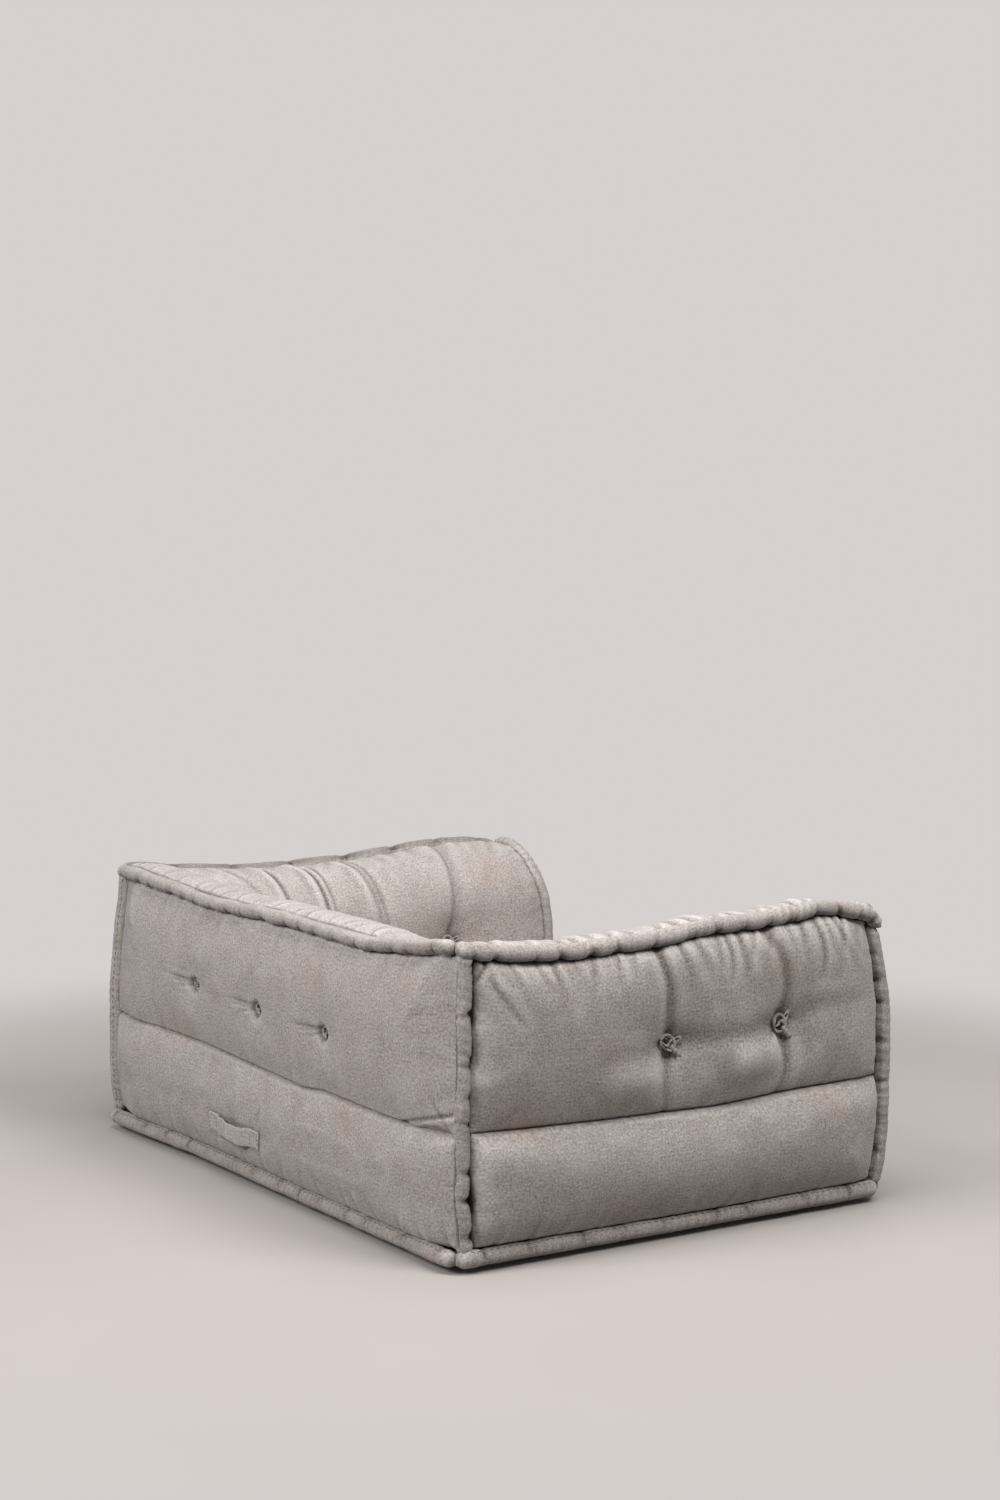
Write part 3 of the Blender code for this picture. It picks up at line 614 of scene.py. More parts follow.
def crease(along, across, route, depth, width, fade, lip=0.5):
    """A fold along a route of points: a valley with a lip on its left. It fades towards its end.
    Gives the heights and the shade in the valley."""
    route = rounded_route(route)
    steps = np.linalg.norm(np.diff(route, axis=0), axis=1)
    starts = np.concatenate([[0.0], np.cumsum(steps)])
    nearest = np.full(along.shape, np.inf)
    travel = np.zeros_like(along)
    hand = np.ones_like(along)
    for number, length in enumerate(steps):
        way = (route[number + 1] - route[number]) / length
        off_a = along - route[number][0]
        off_b = across - route[number][1]
        t = np.clip(off_a * way[0] + off_b * way[1], 0, length)
        away = np.hypot(off_a - t * way[0], off_b - t * way[1])
        closer = away < nearest
        nearest = np.where(closer, away, nearest)
        travel = np.where(closer, starts[number] + t, travel)
        hand = np.where(closer, np.sign(way[0] * off_b - way[1] * off_a), hand)
    strength = 1 - fade * (travel / starts[-1]) ** 2
    valley = bell(nearest, width)
    ridge = lip * bell(hand * nearest - 1.8 * width, 1.2 * width)
    return depth * strength * (ridge - valley), strength * bell(nearest, 0.5 * width)


def rounded_route(route):
    """A route of a few points with its bends rounded."""
    route = np.array(route, dtype=float)
    for _ in range(2):
        first = 0.75 * route[:-1] + 0.25 * route[1:]
        last = 0.25 * route[:-1] + 0.75 * route[1:]
        route = np.concatenate([route[:1], np.stack([first, last], axis=1).reshape(-1, 2), route[-1:]])
    return route


# Padded panels

@dataclass
class Groove:
    """How a panel sinks into a seam: depth, width, how far the shade in it reaches, and how dark it is."""
    depth: float
    width: float = GROOVE
    shade: float = 0.005
    tone: float = 1.0


@dataclass
class Panel:
    """A padded panel: where its plane lies, its ranges, how its edges tuck in, its tufts and its folds."""
    name: str
    plane: object  # gives points and outward normals for arrays of a and b
    a_range: object  # gives the two ends of a for an array of b
    b_range: tuple
    crown: float
    rounding: float
    tucks: dict  # the grooves at the low, high, start and end seam
    node: str
    seed: int
    drops: dict = field(default_factory=dict)  # how far the panel leans in towards a seam
    sway: float = 0.0  # share of the rear corners' sway that it follows
    slack: float = 1.0  # share of the cloth's slack that this panel has
    swell: float = 1.0  # share of the most swell that this panel may take
    tufts: list = field(default_factory=list)
    funnel: float = 0.050  # how wide a tuft draws the cloth in
    pulls: int = 5  # folds round a tuft
    gathered: dict = field(default_factory=dict)  # seam: (spacing, depth, reach)
    creases: list = field(default_factory=list)
    sewn: list = field(default_factory=list)  # boxes of a and b that are held down
    # painted shade: how dark the seams of this panel are painted
    painted_seam_shade: float = 1.0  # how dark its seams are
    pucker: float = 0.0  # height of the stitch puckers at its high seam
    slot: str = "linen"
    fill: float = 0.7


def seam_spaced(length, cell):
    """Steps along a length, close together near both seams."""
    inner = np.linspace(SEAM_STEPS[-1], length - SEAM_STEPS[-1],
                        max(4, math.ceil((length - 2 * SEAM_STEPS[-1]) / cell)))
    edge = np.array(SEAM_STEPS[:-1])
    return np.concatenate([edge, inner, (length - edge)[::-1]])


def panel_grid(panel, cell):
    """Arrays of a and b over a panel."""
    low, high = panel.b_range
    b = low + seam_spaced(high - low, cell)
    start, end = panel.a_range(np.array([(low + high) / 2]))
    length = float((end - start)[0])
    share = seam_spaced(length, cell) / length
    starts, ends = panel.a_range(b)
    a = starts[None, :] + share[:, None] * (ends - starts)[None, :]
    return a, np.broadcast_to(b[None, :], a.shape)


def seam_distances(panel, a, b):
    """Distance of each point from the panel's four seams."""
    starts, ends = panel.a_range(b)
    return {"low": b - panel.b_range[0], "high": panel.b_range[1] - b, "start": a - starts, "end": ends - a}


def panel_height(panel, a, b):
    """How far the padding stands out of the panel's plane."""
    away = seam_distances(panel, a, b)
    swell = np.ones_like(a)
    for distance in away.values():
        swell = swell * (1 - (1 - np.clip(distance / panel.rounding, 0, 1)) ** 3)
    height = panel.crown * swell
    sunk = [groove.depth * np.exp(-away[seam] / groove.width) for seam, groove in panel.tucks.items()]
    drawn = [(drop + panel.sway * corner_sway(b)) * (1 - smooth(away[seam] / CORNER_REACH))
             for seam, drop in panel.drops.items()]
    for steps in (sunk, drawn):
        height -= np.maximum.reduce([0.0 * a, *steps])
    for place_a, place_b, depth in panel.tufts:
        radius = np.hypot(a - place_a, b - place_b)
        funnel = np.exp(-(np.maximum(radius - TUFT_DISC, 0) / panel.funnel) ** 1.15)
        height = np.where(radius < TUFT_DISC, panel.crown - depth, height - depth * funnel)
    return height


def seam_gathers(panel, a, b, away):
    """The pleats along all gathered seams of a panel."""
    height = np.zeros_like(a)
    for number, (seam, (spacing, depth, reach)) in enumerate(panel.gathered.items()):
        along = b if seam in ("start", "end") else a
        rows = marks(panel.seed + number, float(along.min()), float(along.max()), spacing)
        height += gathers(along, away[seam], rows, depth, reach)
    return height


GATHERS_BEFORE = 0.5  # share of the gathers that the cloth has before it swells
GATHERS_AFTER = 0.6  # and that is added after it
UNEVENNESS = ((0.0018, 0.085), (0.0007, 0.028))  # of the padding: height and size of its lumps
CALM_TUFT = 0.03  # round a tuft and along a seam the padding is even
CALM_SEAM = 0.02
PULL_START = 0.010  # the folds round a tuft: where they start, their reach, depth and width
PULL_REACH = (0.028, 0.055)
PULL_DEPTH = 0.05  # as a share of the tuft's depth
PULL_WIDTH = 0.0060
PUCKER_PITCH = 0.0105  # from one stitch pucker to the next
PUCKER_LOBE = 0.04
PUCKER_REACH = 0.010


def panel_seeds(panel, a, b):
    """Gathers at the seams and slight unevenness, before the cloth is let swell."""
    away = seam_distances(panel, a, b)
    height = GATHERS_BEFORE * seam_gathers(panel, a, b, away)
    calm = np.ones_like(a)
    for place_a, place_b, _ in panel.tufts:
        calm *= smooth((np.hypot(a - place_a, b - place_b) - TUFT_DISC) / CALM_TUFT)
    edge = np.minimum.reduce(list(away.values()))
    calm *= smooth(edge / CALM_SEAM)
    uneven = np.zeros_like(a)
    for number, (rise, size) in enumerate(UNEVENNESS):
        uneven += rise * patchy(panel.seed + 50 + number, a / size, b / size)
    return height + calm * uneven


def panel_fine(panel, a, b):
    """Photographed creases, tuft pulls and stitch puckers, added to the swollen cloth, and the shade in
    them."""
    away = seam_distances(panel, a, b)
    height = GATHERS_AFTER * seam_gathers(panel, a, b, away)
    shade = np.zeros_like(a)
    for route, depth, width, fade, lip in panel.creases:
        fold, shadow = crease(a, b, route, depth, width, fade, lip)
        height += fold
        shade += CREASE_SHADE * min(1.0, FINE_FOLD / width) * shadow
    rng = np.random.default_rng(panel.seed + 90)
    for place_a, place_b, depth in panel.tufts:
        turn = rng.uniform(0, 2 * math.pi)
        for number in range(panel.pulls):
            angle = turn + 2 * math.pi * number / panel.pulls + rng.uniform(-0.3, 0.3)
            radii = (PULL_START, rng.uniform(*PULL_REACH))
            route = [(place_a + r * math.cos(angle), place_b + r * math.sin(angle)) for r in radii]
            height += crease(a, b, route, PULL_DEPTH * depth, PULL_WIDTH, 1.0)[0]
        shade += TUFT_SHADE * bell(np.hypot(a - place_a, b - place_b), TUFT_SHADE_REACH)
    for number, (seam, groove) in enumerate(panel.tucks.items()):
        along = b if seam in ("start", "end") else a
        waver = 1 + SHADE_WAVER * wavering(panel.seed + 80 + number, along, SHADE_LOBE)
        # painted shade along each seam, widening and narrowing along it
        shade += panel.painted_seam_shade * groove.tone * dark(away[seam], groove.shade * waver)
    wobble = a / PUCKER_PITCH + 0.8 * wavering(panel.seed + 70, a, PUCKER_LOBE, 0.0)
    height += panel.pucker * np.sin(2 * math.pi * wobble) * np.exp(-away["high"] / PUCKER_REACH)
    # painted shadow of the strap: round its sewn ends and further below them
    for low_a, low_b, high_a, high_b in panel.sewn:
        below = low_b - STRAP_SHADE_DROP - b
        beside = np.maximum.reduce([low_a - a, a - high_a, below, b - high_b, 0.0 * a])
        shade += STRAP_SHADE * bell(beside, STRAP_SHADE_REACH)
    return height, np.clip(shade, 0, 1)


def held_points(panel, a, b):
    """Which points are sewn down: the seams, the tufts, and what the panel names."""
    away = seam_distances(panel, a, b)
    held = np.minimum.reduce(list(away.values())) < SEWN_REACH
    for place_a, place_b, _ in panel.tufts:
        held |= np.hypot(a - place_a, b - place_b) < TUFT_DISC
    for low_a, low_b, high_a, high_b in panel.sewn:
        held |= (a > low_a) & (a < high_a) & (b > low_b) & (b < high_b)
    return held


def faces_inwards(panel, points):
    """Whether a panel's grid runs the wrong way round for its outward normals."""
    a, b = panel.a_range(np.array(panel.b_range))[0][:1], np.array(panel.b_range[:1])
    outward = panel.plane(a, b)[1][0]
    return float(np.sum(grid_normals(points).mean(axis=(0, 1)) * outward)) < 0


def swell_cloths(jobs, sizes):
    """Lets several cloths swell together and gives back their points."""
    scene = bpy.context.scene
    cloths = []
    for panel, points, rest, held in jobs:
        mesh = bpy.data.meshes.new("swell_" + panel.name)
        faces = quads(*points.shape[:2])
        if faces_inwards(panel, points):
            faces = faces[:, ::-1]
        mesh.from_pydata(points.reshape(-1, 3).tolist(), [], faces.tolist())
        cloth = new_object("swell_" + panel.name, mesh)
        group = cloth.vertex_groups.new(name="sewn")
        group.add([int(i) for i in np.flatnonzero(held.ravel())], 1.0, "REPLACE")
        cloth.shape_key_add(name="Basis")
        slack = cloth.shape_key_add(name="slack")
        slack.data.foreach_set("co", rest.ravel().astype(np.float32))
        slack.value = 0.0
        modifier = cloth.modifiers.new("Swell", "CLOTH")
        settings = modifier.settings
        settings.quality = 5
        settings.mass = 0.15
        settings.air_damping = 4.0
        settings.tension_stiffness = 20
        settings.compression_stiffness = 20
        settings.shear_stiffness = 8
        settings.bending_stiffness = sizes.stiffness
        settings.vertex_group_mass = "sewn"
        settings.rest_shape_key = slack
        settings.use_pressure = True
        settings.uniform_pressure_force = sizes.pressure
        settings.effector_weights.gravity = 0
        cloths.append(cloth)
    for number in range(1, sizes.frames + 1):
        scene.frame_set(number)
    graph = bpy.context.evaluated_depsgraph_get()
    results = []
    for cloth, (_, points, _, _) in zip(cloths, jobs):
        shape = cloth.evaluated_get(graph).to_mesh()
        moved = np.zeros(points.size, dtype=np.float32)
        shape.vertices.foreach_get("co", moved)
        results.append(moved.reshape(points.shape).astype(float))
        cloth.evaluated_get(graph).to_mesh_clear()
        mesh = cloth.data
        bpy.data.objects.remove(cloth)
        bpy.data.meshes.remove(mesh)
    scene.frame_set(1)
    return results


def close_panel(panel, grid, normals, flat_normals, uv, shade, material):
    """A closed padded form: the swollen face, a rim and a flat back."""
    rows, columns = grid.shape[:2]
    faces = quads(rows, columns).tolist()
    index = np.arange(rows * columns).reshape(rows, columns)
    border = np.concatenate([index[:, 0], index[-1, 1:], index[-2::-1, -1], index[0, -2:0:-1]])
    rim = grid.reshape(-1, 3)[border] - RIM * flat_normals.reshape(-1, 3)[border]
    first = rows * columns
    count = len(border)
    for number in range(count):
        after = (number + 1) % count
        faces.append([int(border[after]), int(border[number]), first + number, first + after])
    faces.append([first + number for number in range(count)])
    if faces_inwards(panel, grid):
        faces = [face[::-1] for face in faces]
    points = np.concatenate([grid.reshape(-1, 3), rim])
    folds = np.concatenate([folds_of(grid, normals).ravel(), np.zeros(count)])
    # the rim and flat back lie deep in the seams and are painted in full shade
    shade = np.concatenate([shade.ravel(), np.ones(count)])
    all_uv = np.concatenate([uv.reshape(-1, 2), uv.reshape(-1, 2)[border]])
    piece = new_piece(panel.name, points, faces, all_uv, folds, material, shade)
    return hand_over(piece, "sofa", [panel.node])


LENGTH_SLACK = (0.25, 0.75)  # share of the slack along a panel: all over, and more at its high seam
HIGH_REACH = 0.10
EVEN_SLACK = 0.3  # share of the slack in all directions


def make_panels(panels, sizes, material):
    """Builds a group of panels: base shape, swollen cloth, folds, and the closed form."""
    jobs = []
    grids = []
    for panel in panels:
        a, b = panel_grid(panel, sizes.cell)
        base, normal = panel.plane(a, b)
        height = panel_height(panel, a, b) + panel_seeds(panel, a, b)
        points = base + normal * height[..., None]
        along = unit(np.gradient(base, axis=0))
        all_over, at_high = LENGTH_SLACK
        gathered = all_over + at_high * np.exp(-seam_distances(panel, a, b)["high"] / HIGH_REACH)
        slack = panel.slack * sizes.slack
        rest = points + along * ((a - a.mean()) * gathered)[..., None] * slack
        rest += (points - points.mean(axis=(0, 1))) * slack * EVEN_SLACK
        jobs.append((panel, points, rest, held_points(panel, a, b)))
        grids.append((a, b, normal))
    swollen = [job[1] for job in jobs]
    swollen = swell_cloths(jobs, sizes)
    for (panel, points, _, _), result, (a, b, normal) in zip(jobs, swollen, grids):
        move = result - points
        length = np.linalg.norm(move, axis=-1, keepdims=True)
        move *= np.minimum(1, panel.swell * sizes.most_swell / np.maximum(length, 1e-9))
        fine = doubled(points + move)
        fine_a = doubled(a[..., None])[..., 0]
        fine_b = doubled(b[..., None])[..., 0]
        flat = doubled(normal)
        facing = grid_normals(fine)
        facing *= np.sign(np.sum(facing * flat, axis=-1, keepdims=True))
        height, shade = panel_fine(panel, fine_a, fine_b)
        fine = fine + facing * height[..., None]
        uv = np.stack([fine_a, fine_b], axis=-1)
        close_panel(panel, settle(fine), facing, flat, uv, shade, material)


def upright_plane(side):
    """Points and outward normals of a side's outer face, over s and z."""
    def plane(a, b):
        normal = np.array((-side.inward[0], -side.inward[1], 0.0))
        return side.place(a, 0.0 * a, b), np.broadcast_to(normal, (*a.shape, 3))
    return plane


def corner_sway(z):
    """How far forward a rear corner roll lies from its straight line at a height."""
    heights, shifts = zip(*CORNER_SWAY)
    return np.interp(z, heights, shifts)


def straight(start, end, waver=0.0, seed=0, sway=(0, 0)):
    """Ends of a that are the same for every b, or waver a little as a hand-sewn seam does."""
    def ends(b):
        b = np.asarray(b, dtype=float)
        return (start + waver * wavering(seed, b, SEAM_LOBE) + sway[0] * corner_sway(b),
                end + waver * wavering(seed, b, SEAM_LOBE, 7.5) + sway[1] * corner_sway(b))
    return ends


INNER_SAG = 0.024  # how far a rosette hangs: inside the walls, on the arms, and on the back
ARM_SAG = 0.010
BACK_SAG = (0.005, 0.010, 0.014)


def rosette_sag(node):
    """How far a wall's rosette hangs below its tie."""
    if node.startswith("inner_"):
        return INNER_SAG
    if node.startswith("outer_rosette_back"):
        return BACK_SAG[int(node[-1]) - 1]
    return ARM_SAG


def tufts_of(side, kind, depth):
    """Places of a wall's tufts, from its rosettes in the frame."""
    tufts = []
    for name in nodes_named(f"{kind}_rosette_{side.name}_"):
        s, z = side.local(middle(name))
        tufts.append((s, z - rosette_sag(name), depth))
    return tufts


def side_ends(side):
    """Where a side's outer panels end: at the seams of the upright corner rolls."""
    near = side.half - BACK_INSET
    front = side.half - CORNER_INSET - 0.4 * ROLL_RADIUS
    rear = side.half - CORNER_INSET - CORNER_WRAP - 0.6 * ROLL_RADIUS
    return {"back": (-front, near), "right_arm": (-rear, front), "left_arm": (-front, rear),
            "front": (-front, front)}[side.name]


def side_sway(side):
    """How a side's ends follow the sway of the rear corner rolls."""
    return {"right_arm": (1, 0), "left_arm": (0, -1)}.get(side.name, (0, 0))


def side_drops(side):
    """How far a side's outer panels are drawn in at their ends: the back wraps round to its corner rolls
    and stops a little short of their middles."""
    near = CORNER_INSET + CORNER_WRAP - 0.017
    far = CORNER_INSET + CORNER_WRAP - 0.012
    rear = 0.005
    front = 0.018
    ends = {"back": (far, near), "right_arm": (rear, front), "left_arm": (front, rear),
            "front": (front, front)}[side.name]
    return {"start": ends[0], "end": ends[1]}


def corner_tucks(side):
    """The grooves of a side's outer panels at the corner rolls: deep beside the roll, but the back wraps
    round to its rolls with hardly any."""
    shallow = Groove(0.003, GROOVE, 0.004, 0.5)
    deep = Groove(0.026, 0.009, 0.0098)
    rim = Groove(0.011, 0.005, 0.010, 0.6)
    front = Groove(0.020, GROOVE, 0.011)
    start, end = {"back": (rim, shallow), "right_arm": (deep, front), "left_arm": (front, deep),
                  "front": (front, front)}[side.name]
    return {"start": start, "end": end}


# Folds seen in the photograph: a route over the panel, depth, width, how much it fades to its end, and its
# lip. A fold of negative depth is a puff.
RIGHT_ARM_CREASES = [
    ([(-0.062, 0.572), (-0.040, 0.520), (-0.038, 0.460), (-0.029, 0.415)], 0.0050, 0.0150, 0.0, 0.15),
    ([(0.200, 0.572), (0.236, 0.525), (0.252, 0.468), (0.249, 0.415)], 0.0055, 0.0150, 0.0, 0.15),
    ([(0.000, 0.400), (0.103, 0.400), (0.225, 0.404)], 0.0055, 0.0220, 0.0, 0.2),
    ([(0.270, 0.408), (0.354, 0.420), (0.455, 0.430)], 0.0032, 0.0180, 0.8, 0.3),
    ([(-0.050, 0.398), (-0.150, 0.385), (-0.260, 0.375)], 0.0028, 0.0240, 0.9, 0.2),
    ([(-0.030, 0.380), (-0.042, 0.330), (-0.030, 0.275)], 0.0045, 0.0160, 0.6, 0.2),
    ([(0.248, 0.380), (0.262, 0.330), (0.250, 0.275)], 0.0060, 0.0140, 0.5, 0.2),
    ([(0.140, 0.347), (0.212, 0.350)], -0.0155, 0.0350, 0.0, 0.0),
    ([(-0.160, 0.335), (-0.080, 0.338)], -0.0088, 0.0380, 0.0, 0.0),
    ([(-0.452, 0.572), (-0.470, 0.545), (-0.480, 0.525)], 0.0030, 0.0050, 0.8, 0.5),
    ([(0.330, 0.570), (0.345, 0.520), (0.335, 0.470)], 0.0034, 0.0080, 0.8, 0.4),
    ([(0.100, 0.572), (0.112, 0.530), (0.104, 0.490)], 0.0034, 0.0080, 0.9, 0.4),
]
LEFT_INNER_CREASES = [
    ([(0.330, 0.440), (0.289, 0.361), (0.250, 0.306), (0.232, 0.250)], 0.0030, 0.0100, 1.0, 0.5),
    ([(0.215, 0.440), (0.193, 0.368), (0.176, 0.270), (0.166, 0.205)], 0.0055, 0.0070, 1.0, 0.5),
    ([(0.120, 0.440), (0.090, 0.363), (0.078, 0.235), (0.072, 0.150)], 0.0080, 0.0075, 1.0, 0.6),
    ([(0.098, 0.440), (0.072, 0.362), (0.062, 0.240), (0.056, 0.170)], 0.0045, 0.0060, 1.0, 0.5),
    ([(0.005, 0.440), (-0.030, 0.350), (-0.055, 0.215), (-0.062, 0.135)], 0.0045, 0.0080, 1.0, 0.5),
    ([(-0.015, 0.440), (-0.048, 0.340), (-0.070, 0.205), (-0.080, 0.120)], 0.0035, 0.0070, 1.0, 0.4),
    ([(-0.300, 0.440), (-0.274, 0.350), (-0.262, 0.237), (-0.252, 0.146)], 0.0036, 0.0230, 0.0, 0.2),
    ([(-0.270, 0.440), (-0.258, 0.330), (-0.250, 0.150)], 0.0011, 0.0070, 0.3, 0.3),
]
BACK_INNER_CREASES = [([(0.670, 0.400), (0.560, 0.400), (0.400, 0.400)], 0.0180, 0.1000, 1.0, 0.0)]

# Fine lines beside each tuft of the back: the rise of their two ends and their length
PULL_LINES = ((0.008, 0.012, 0.120), (0.003, 0.001, 0.090), (-0.003, -0.012, 0.055))
LINE_START = 0.012  # from the tuft's middle
LINE_DEPTH = 0.0024
LINE_WIDTH = 0.0040

# Folds that fan out from where the crease meets the near corner
CORNER_STAR = [
    ([(0.712, 0.303), (0.660, 0.291), (0.616, 0.281), (0.540, 0.264)], 0.0036, 0.0045, 0.3, 0.6),
    ([(0.690, 0.275), (0.670, 0.305), (0.655, 0.330)], 0.0015, 0.0050, 0.9, 0.6),
    ([(0.690, 0.268), (0.640, 0.272), (0.590, 0.272)], 0.0018, 0.0045, 0.9, 0.4),
]


def back_creases():
    """Fine lines that run from each tuft of the back towards its far end, and a star at the near corner."""
    lines = list(CORNER_STAR)
    for s, z, _ in tufts_of(BACK, "outer", 0.0):
        start = s - LINE_START
        for near, far, length in PULL_LINES:
            route = [(start, z + near), (start - length, z + far)]
            lines.append((route, LINE_DEPTH, LINE_WIDTH, 1.0, 0.4))
    return lines


def outer_panel(number, side):
    """The padded outer face of a wall, between the crease and the top roll."""
    on_back = side is BACK
    return Panel(
        name=f"{side.name}_outer_cushion", plane=upright_plane(side),
        a_range=straight(*side_ends(side), 0.0 if on_back else SEAM_WAVER, 140 + number, side_sway(side)),
        b_range=(CREASE, TOP_SEAM + SEAM_LAP),
        crown=BACK_CROWN if on_back else WALL_CROWN, rounding=WALL_ROUND,
        tucks={"low": Groove(0.011, GROOVE, 0.005, CREASE_TONE),
               "high": Groove(0.018, GROOVE, 0.007, 0.6) if on_back else Groove(0.018, GROOVE, 0.0105),
               **corner_tucks(side)},
        node=f"{side.name}_outer_panel", seed=100 + number,
        drops={**side_drops(side), "low": 0.0 if on_back else 0.014, "high": 0.008 if on_back else 0.0},
        tufts=tufts_of(side, "outer", BACK_CROWN if on_back else (WALL_CROWN + 0.018)),
        gathered={"high": (0.09, 0.0010, 0.03) if on_back else (0.047, 0.0052, 0.050),
                  "low": (0.08, 0.0012, 0.02),
                  "start": (0.08, 0.0010, 0.02), "end": (0.05, 0.0010 if on_back else 0.0022, 0.02)},
        creases={"back": back_creases(), "right_arm": RIGHT_ARM_CREASES, "left_arm": []}[side.name],
        slack=0.0 if on_back else 1.0, swell=0.4 if on_back else 1.0, sway=1.0 if on_back else 0.0,
        funnel=0.008 if on_back else 0.055, pulls=0 if on_back else 4, pucker=0.0011)


def base_band(number, side):
    """The padded band of the base, from the bottom roll to the crease. The strap is sewn to the back's."""
    on_back = side is BACK
    sewn = []
    if on_back:
        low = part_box("strap_end_right")[0]
        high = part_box("strap_end_left")[1]
        sewn.append((-high.x, low.z, -low.x, high.z))
    return Panel(
        name=f"{side.name}_base_cushion", plane=upright_plane(side),
        a_range=straight(*side_ends(side), 0.0 if on_back else SEAM_WAVER, 240 + number, side_sway(side)),
        b_range=(BOTTOM_ROLL_TOP - SEAM_LAP, CREASE),
        crown=BACK_BAND_CROWN if on_back else BAND_CROWN, rounding=BAND_ROUND,
        swell=0.3 if on_back else 1.0, sway=1.0 if on_back else 0.0,
        tucks={"low": Groove(0.018), "high": Groove(0.010, GROOVE, 0.004, CREASE_TONE), **corner_tucks(side)},
        node=f"base_band_{side.name}", seed=200 + number,
        drops={**side_drops(side), "low": 0.0 if on_back else 0.014},
        gathered={"low": (0.075, 0.0026, 0.03), "high": (0.09, 0.0010, 0.02),
                  "start": (0.05, 0.0018, 0.02), "end": (0.05, 0.0018, 0.02)},
        sewn=sewn)


def inner_profile(t):
    """Inside of a wall from the seat up over the shoulder: u, z, and the outward direction, at a length t."""
    angle = np.clip((t - INNER_RISE) / SHOULDER, 0, math.pi / 2)
    over = np.maximum(t - INNER_RISE - INNER_ARC, 0)
    u = WALL - SHOULDER + SHOULDER * np.cos(angle) - over
    z = CREASE + np.minimum(t, INNER_RISE) + SHOULDER * np.sin(angle)
    return u, z, np.cos(angle), np.sin(angle)


def inner_plane(side):
    """Points and outward normals of a wall's inside, over s and the length up the profile."""
    def plane(a, b):
        u, z, level, up = inner_profile(b)
        normal = np.stack([level * side.inward[0], level * side.inward[1], up], axis=-1)
        return side.place(a, u, z), normal
    return plane


def inner_ends(side):
    """A wall's inside is mitred into its neighbours at the rear and stops at the end rolls in front."""
    def ends(b):
        u = inner_profile(b)[0]
        mitre = side.half - u - 0.001
        stop = np.full(np.shape(b), side.half - ROLL_INSET - ROLL_RADIUS + SEAM_LAP)
        return {"back": (-mitre, mitre), "right_arm": (-mitre, stop), "left_arm": (-stop, mitre)}[side.name]
    return ends


INNER_CROWN = {"left_arm": 0.012, "right_arm": 0.005, "back": 0.008}
INNER_DROP = {"left_arm": 0.020, "right_arm": 0.008, "back": 0.0}  # towards the top roll
INNER_CREASES = {"left_arm": LEFT_INNER_CREASES, "right_arm": [], "back": BACK_INNER_CREASES}


def inner_panel(number, side):
    """The padded inside of a wall, from the seat up and over the shoulder to the top roll."""
    tuft_depth = 0.030 if side is LEFT_ARM else 0.023
    tufts = [(s, z - CREASE, depth) for s, z, depth in tufts_of(side, "inner", tuft_depth)]
    return Panel(
        name=f"{side.name}_inner_cushion", plane=inner_plane(side), a_range=inner_ends(side),
        b_range=(0.0, INNER_LENGTH), crown=INNER_CROWN[side.name], rounding=0.08,
        swell=1.0 if side is LEFT_ARM else 0.5,
        tucks={"low": Groove(0.010), "high": Groove(0.010 if side is BACK else 0.016),
               "start": Groove(0.008), "end": Groove(0.008)},
        node=f"{side.name}_inner_panel", seed=300 + number, tufts=tufts,
        gathered={"high": (0.070, 0.0035, 0.04) if side is BACK else (0.050, 0.0060, 0.05),
                  "low": (0.08, 0.0020, 0.03), "start": (0.06, 0.0025, 0.03), "end": (0.05, 0.0030, 0.03)},
        drops={"high": INNER_DROP[side.name]}, painted_seam_shade=0.45 if side is BACK else 0.3,
        creases=INNER_CREASES[side.name])


def end_plane(side):
    """Points and outward normals of an arm's front end, over u and z."""
    def plane(a, b):
        front = HALF_DEPTH if side is RIGHT_ARM else -HALF_DEPTH
        normal = np.array((0.0, -1.0, 0.0))
        return side.place(front + 0.0 * a, a, b), np.broadcast_to(normal, (*a.shape, 3))
    return plane


def end_sides(b):
    """The two sides of an arm's front end: the corner roll, and the roll round the shoulder."""
    reach = SHOULDER - ROLL_INSET - 0.6 * ROLL_RADIUS
    above = np.maximum(b - (ROLL_TOP - SHOULDER), 0)
    inner = WALL - SHOULDER + np.sqrt(np.maximum(reach ** 2 - above ** 2, 1e-6))
    return np.full(np.shape(b), CORNER_INSET + 0.6 * ROLL_RADIUS), inner


def end_panel(number, side):
    """The padded front end of an arm."""
    return Panel(
        name=f"{side.name}_end_cushion", plane=end_plane(side), a_range=end_sides,
        b_range=(CREASE, ROLL_TOP - ROLL_INSET - 0.7 * ROLL_RADIUS), crown=0.017, rounding=0.06,
        tucks={"low": Groove(0.012), "high": Groove(0.010), "start": Groove(0.012), "end": Groove(0.012)},
        node=f"{side.name}_end_panel", seed=400 + number,
        gathered={"end": (0.035, 0.0028, 0.03), "start": (0.05, 0.0018, 0.02)})


def seat_panel():
    """The padded seat between the walls."""
    def plane(a, b):
        z = np.full(a.shape, SEAT_EDGE - 0.002)
        return np.stack([a, b, z], axis=-1), np.broadcast_to(np.array((0.0, 0.0, 1.0)), (*a.shape, 3))
    tufts = []
    for name in nodes_named("seat_rosette_"):
        place = middle(name)
        tufts.append((place.x, place.y, 0.028))
    return Panel(
        name="seat_cushion", plane=plane, a_range=straight(SEAT_LOW.x, SEAT_HIGH.x),
        b_range=(SEAT_LOW.y, SEAT_HIGH.y), crown=SEAT_CROWN, rounding=SEAT_ROUND,
        tucks={"low": Groove(0.008), "high": Groove(0.010), "start": Groove(0.010), "end": Groove(0.010)},
        node="seat_top", seed=500, tufts=tufts,
        gathered={"low": (0.07, 0.0030, 0.05), "high": (0.09, 0.0020, 0.04),
                  "start": (0.09, 0.0020, 0.04), "end": (0.09, 0.0020, 0.04)})


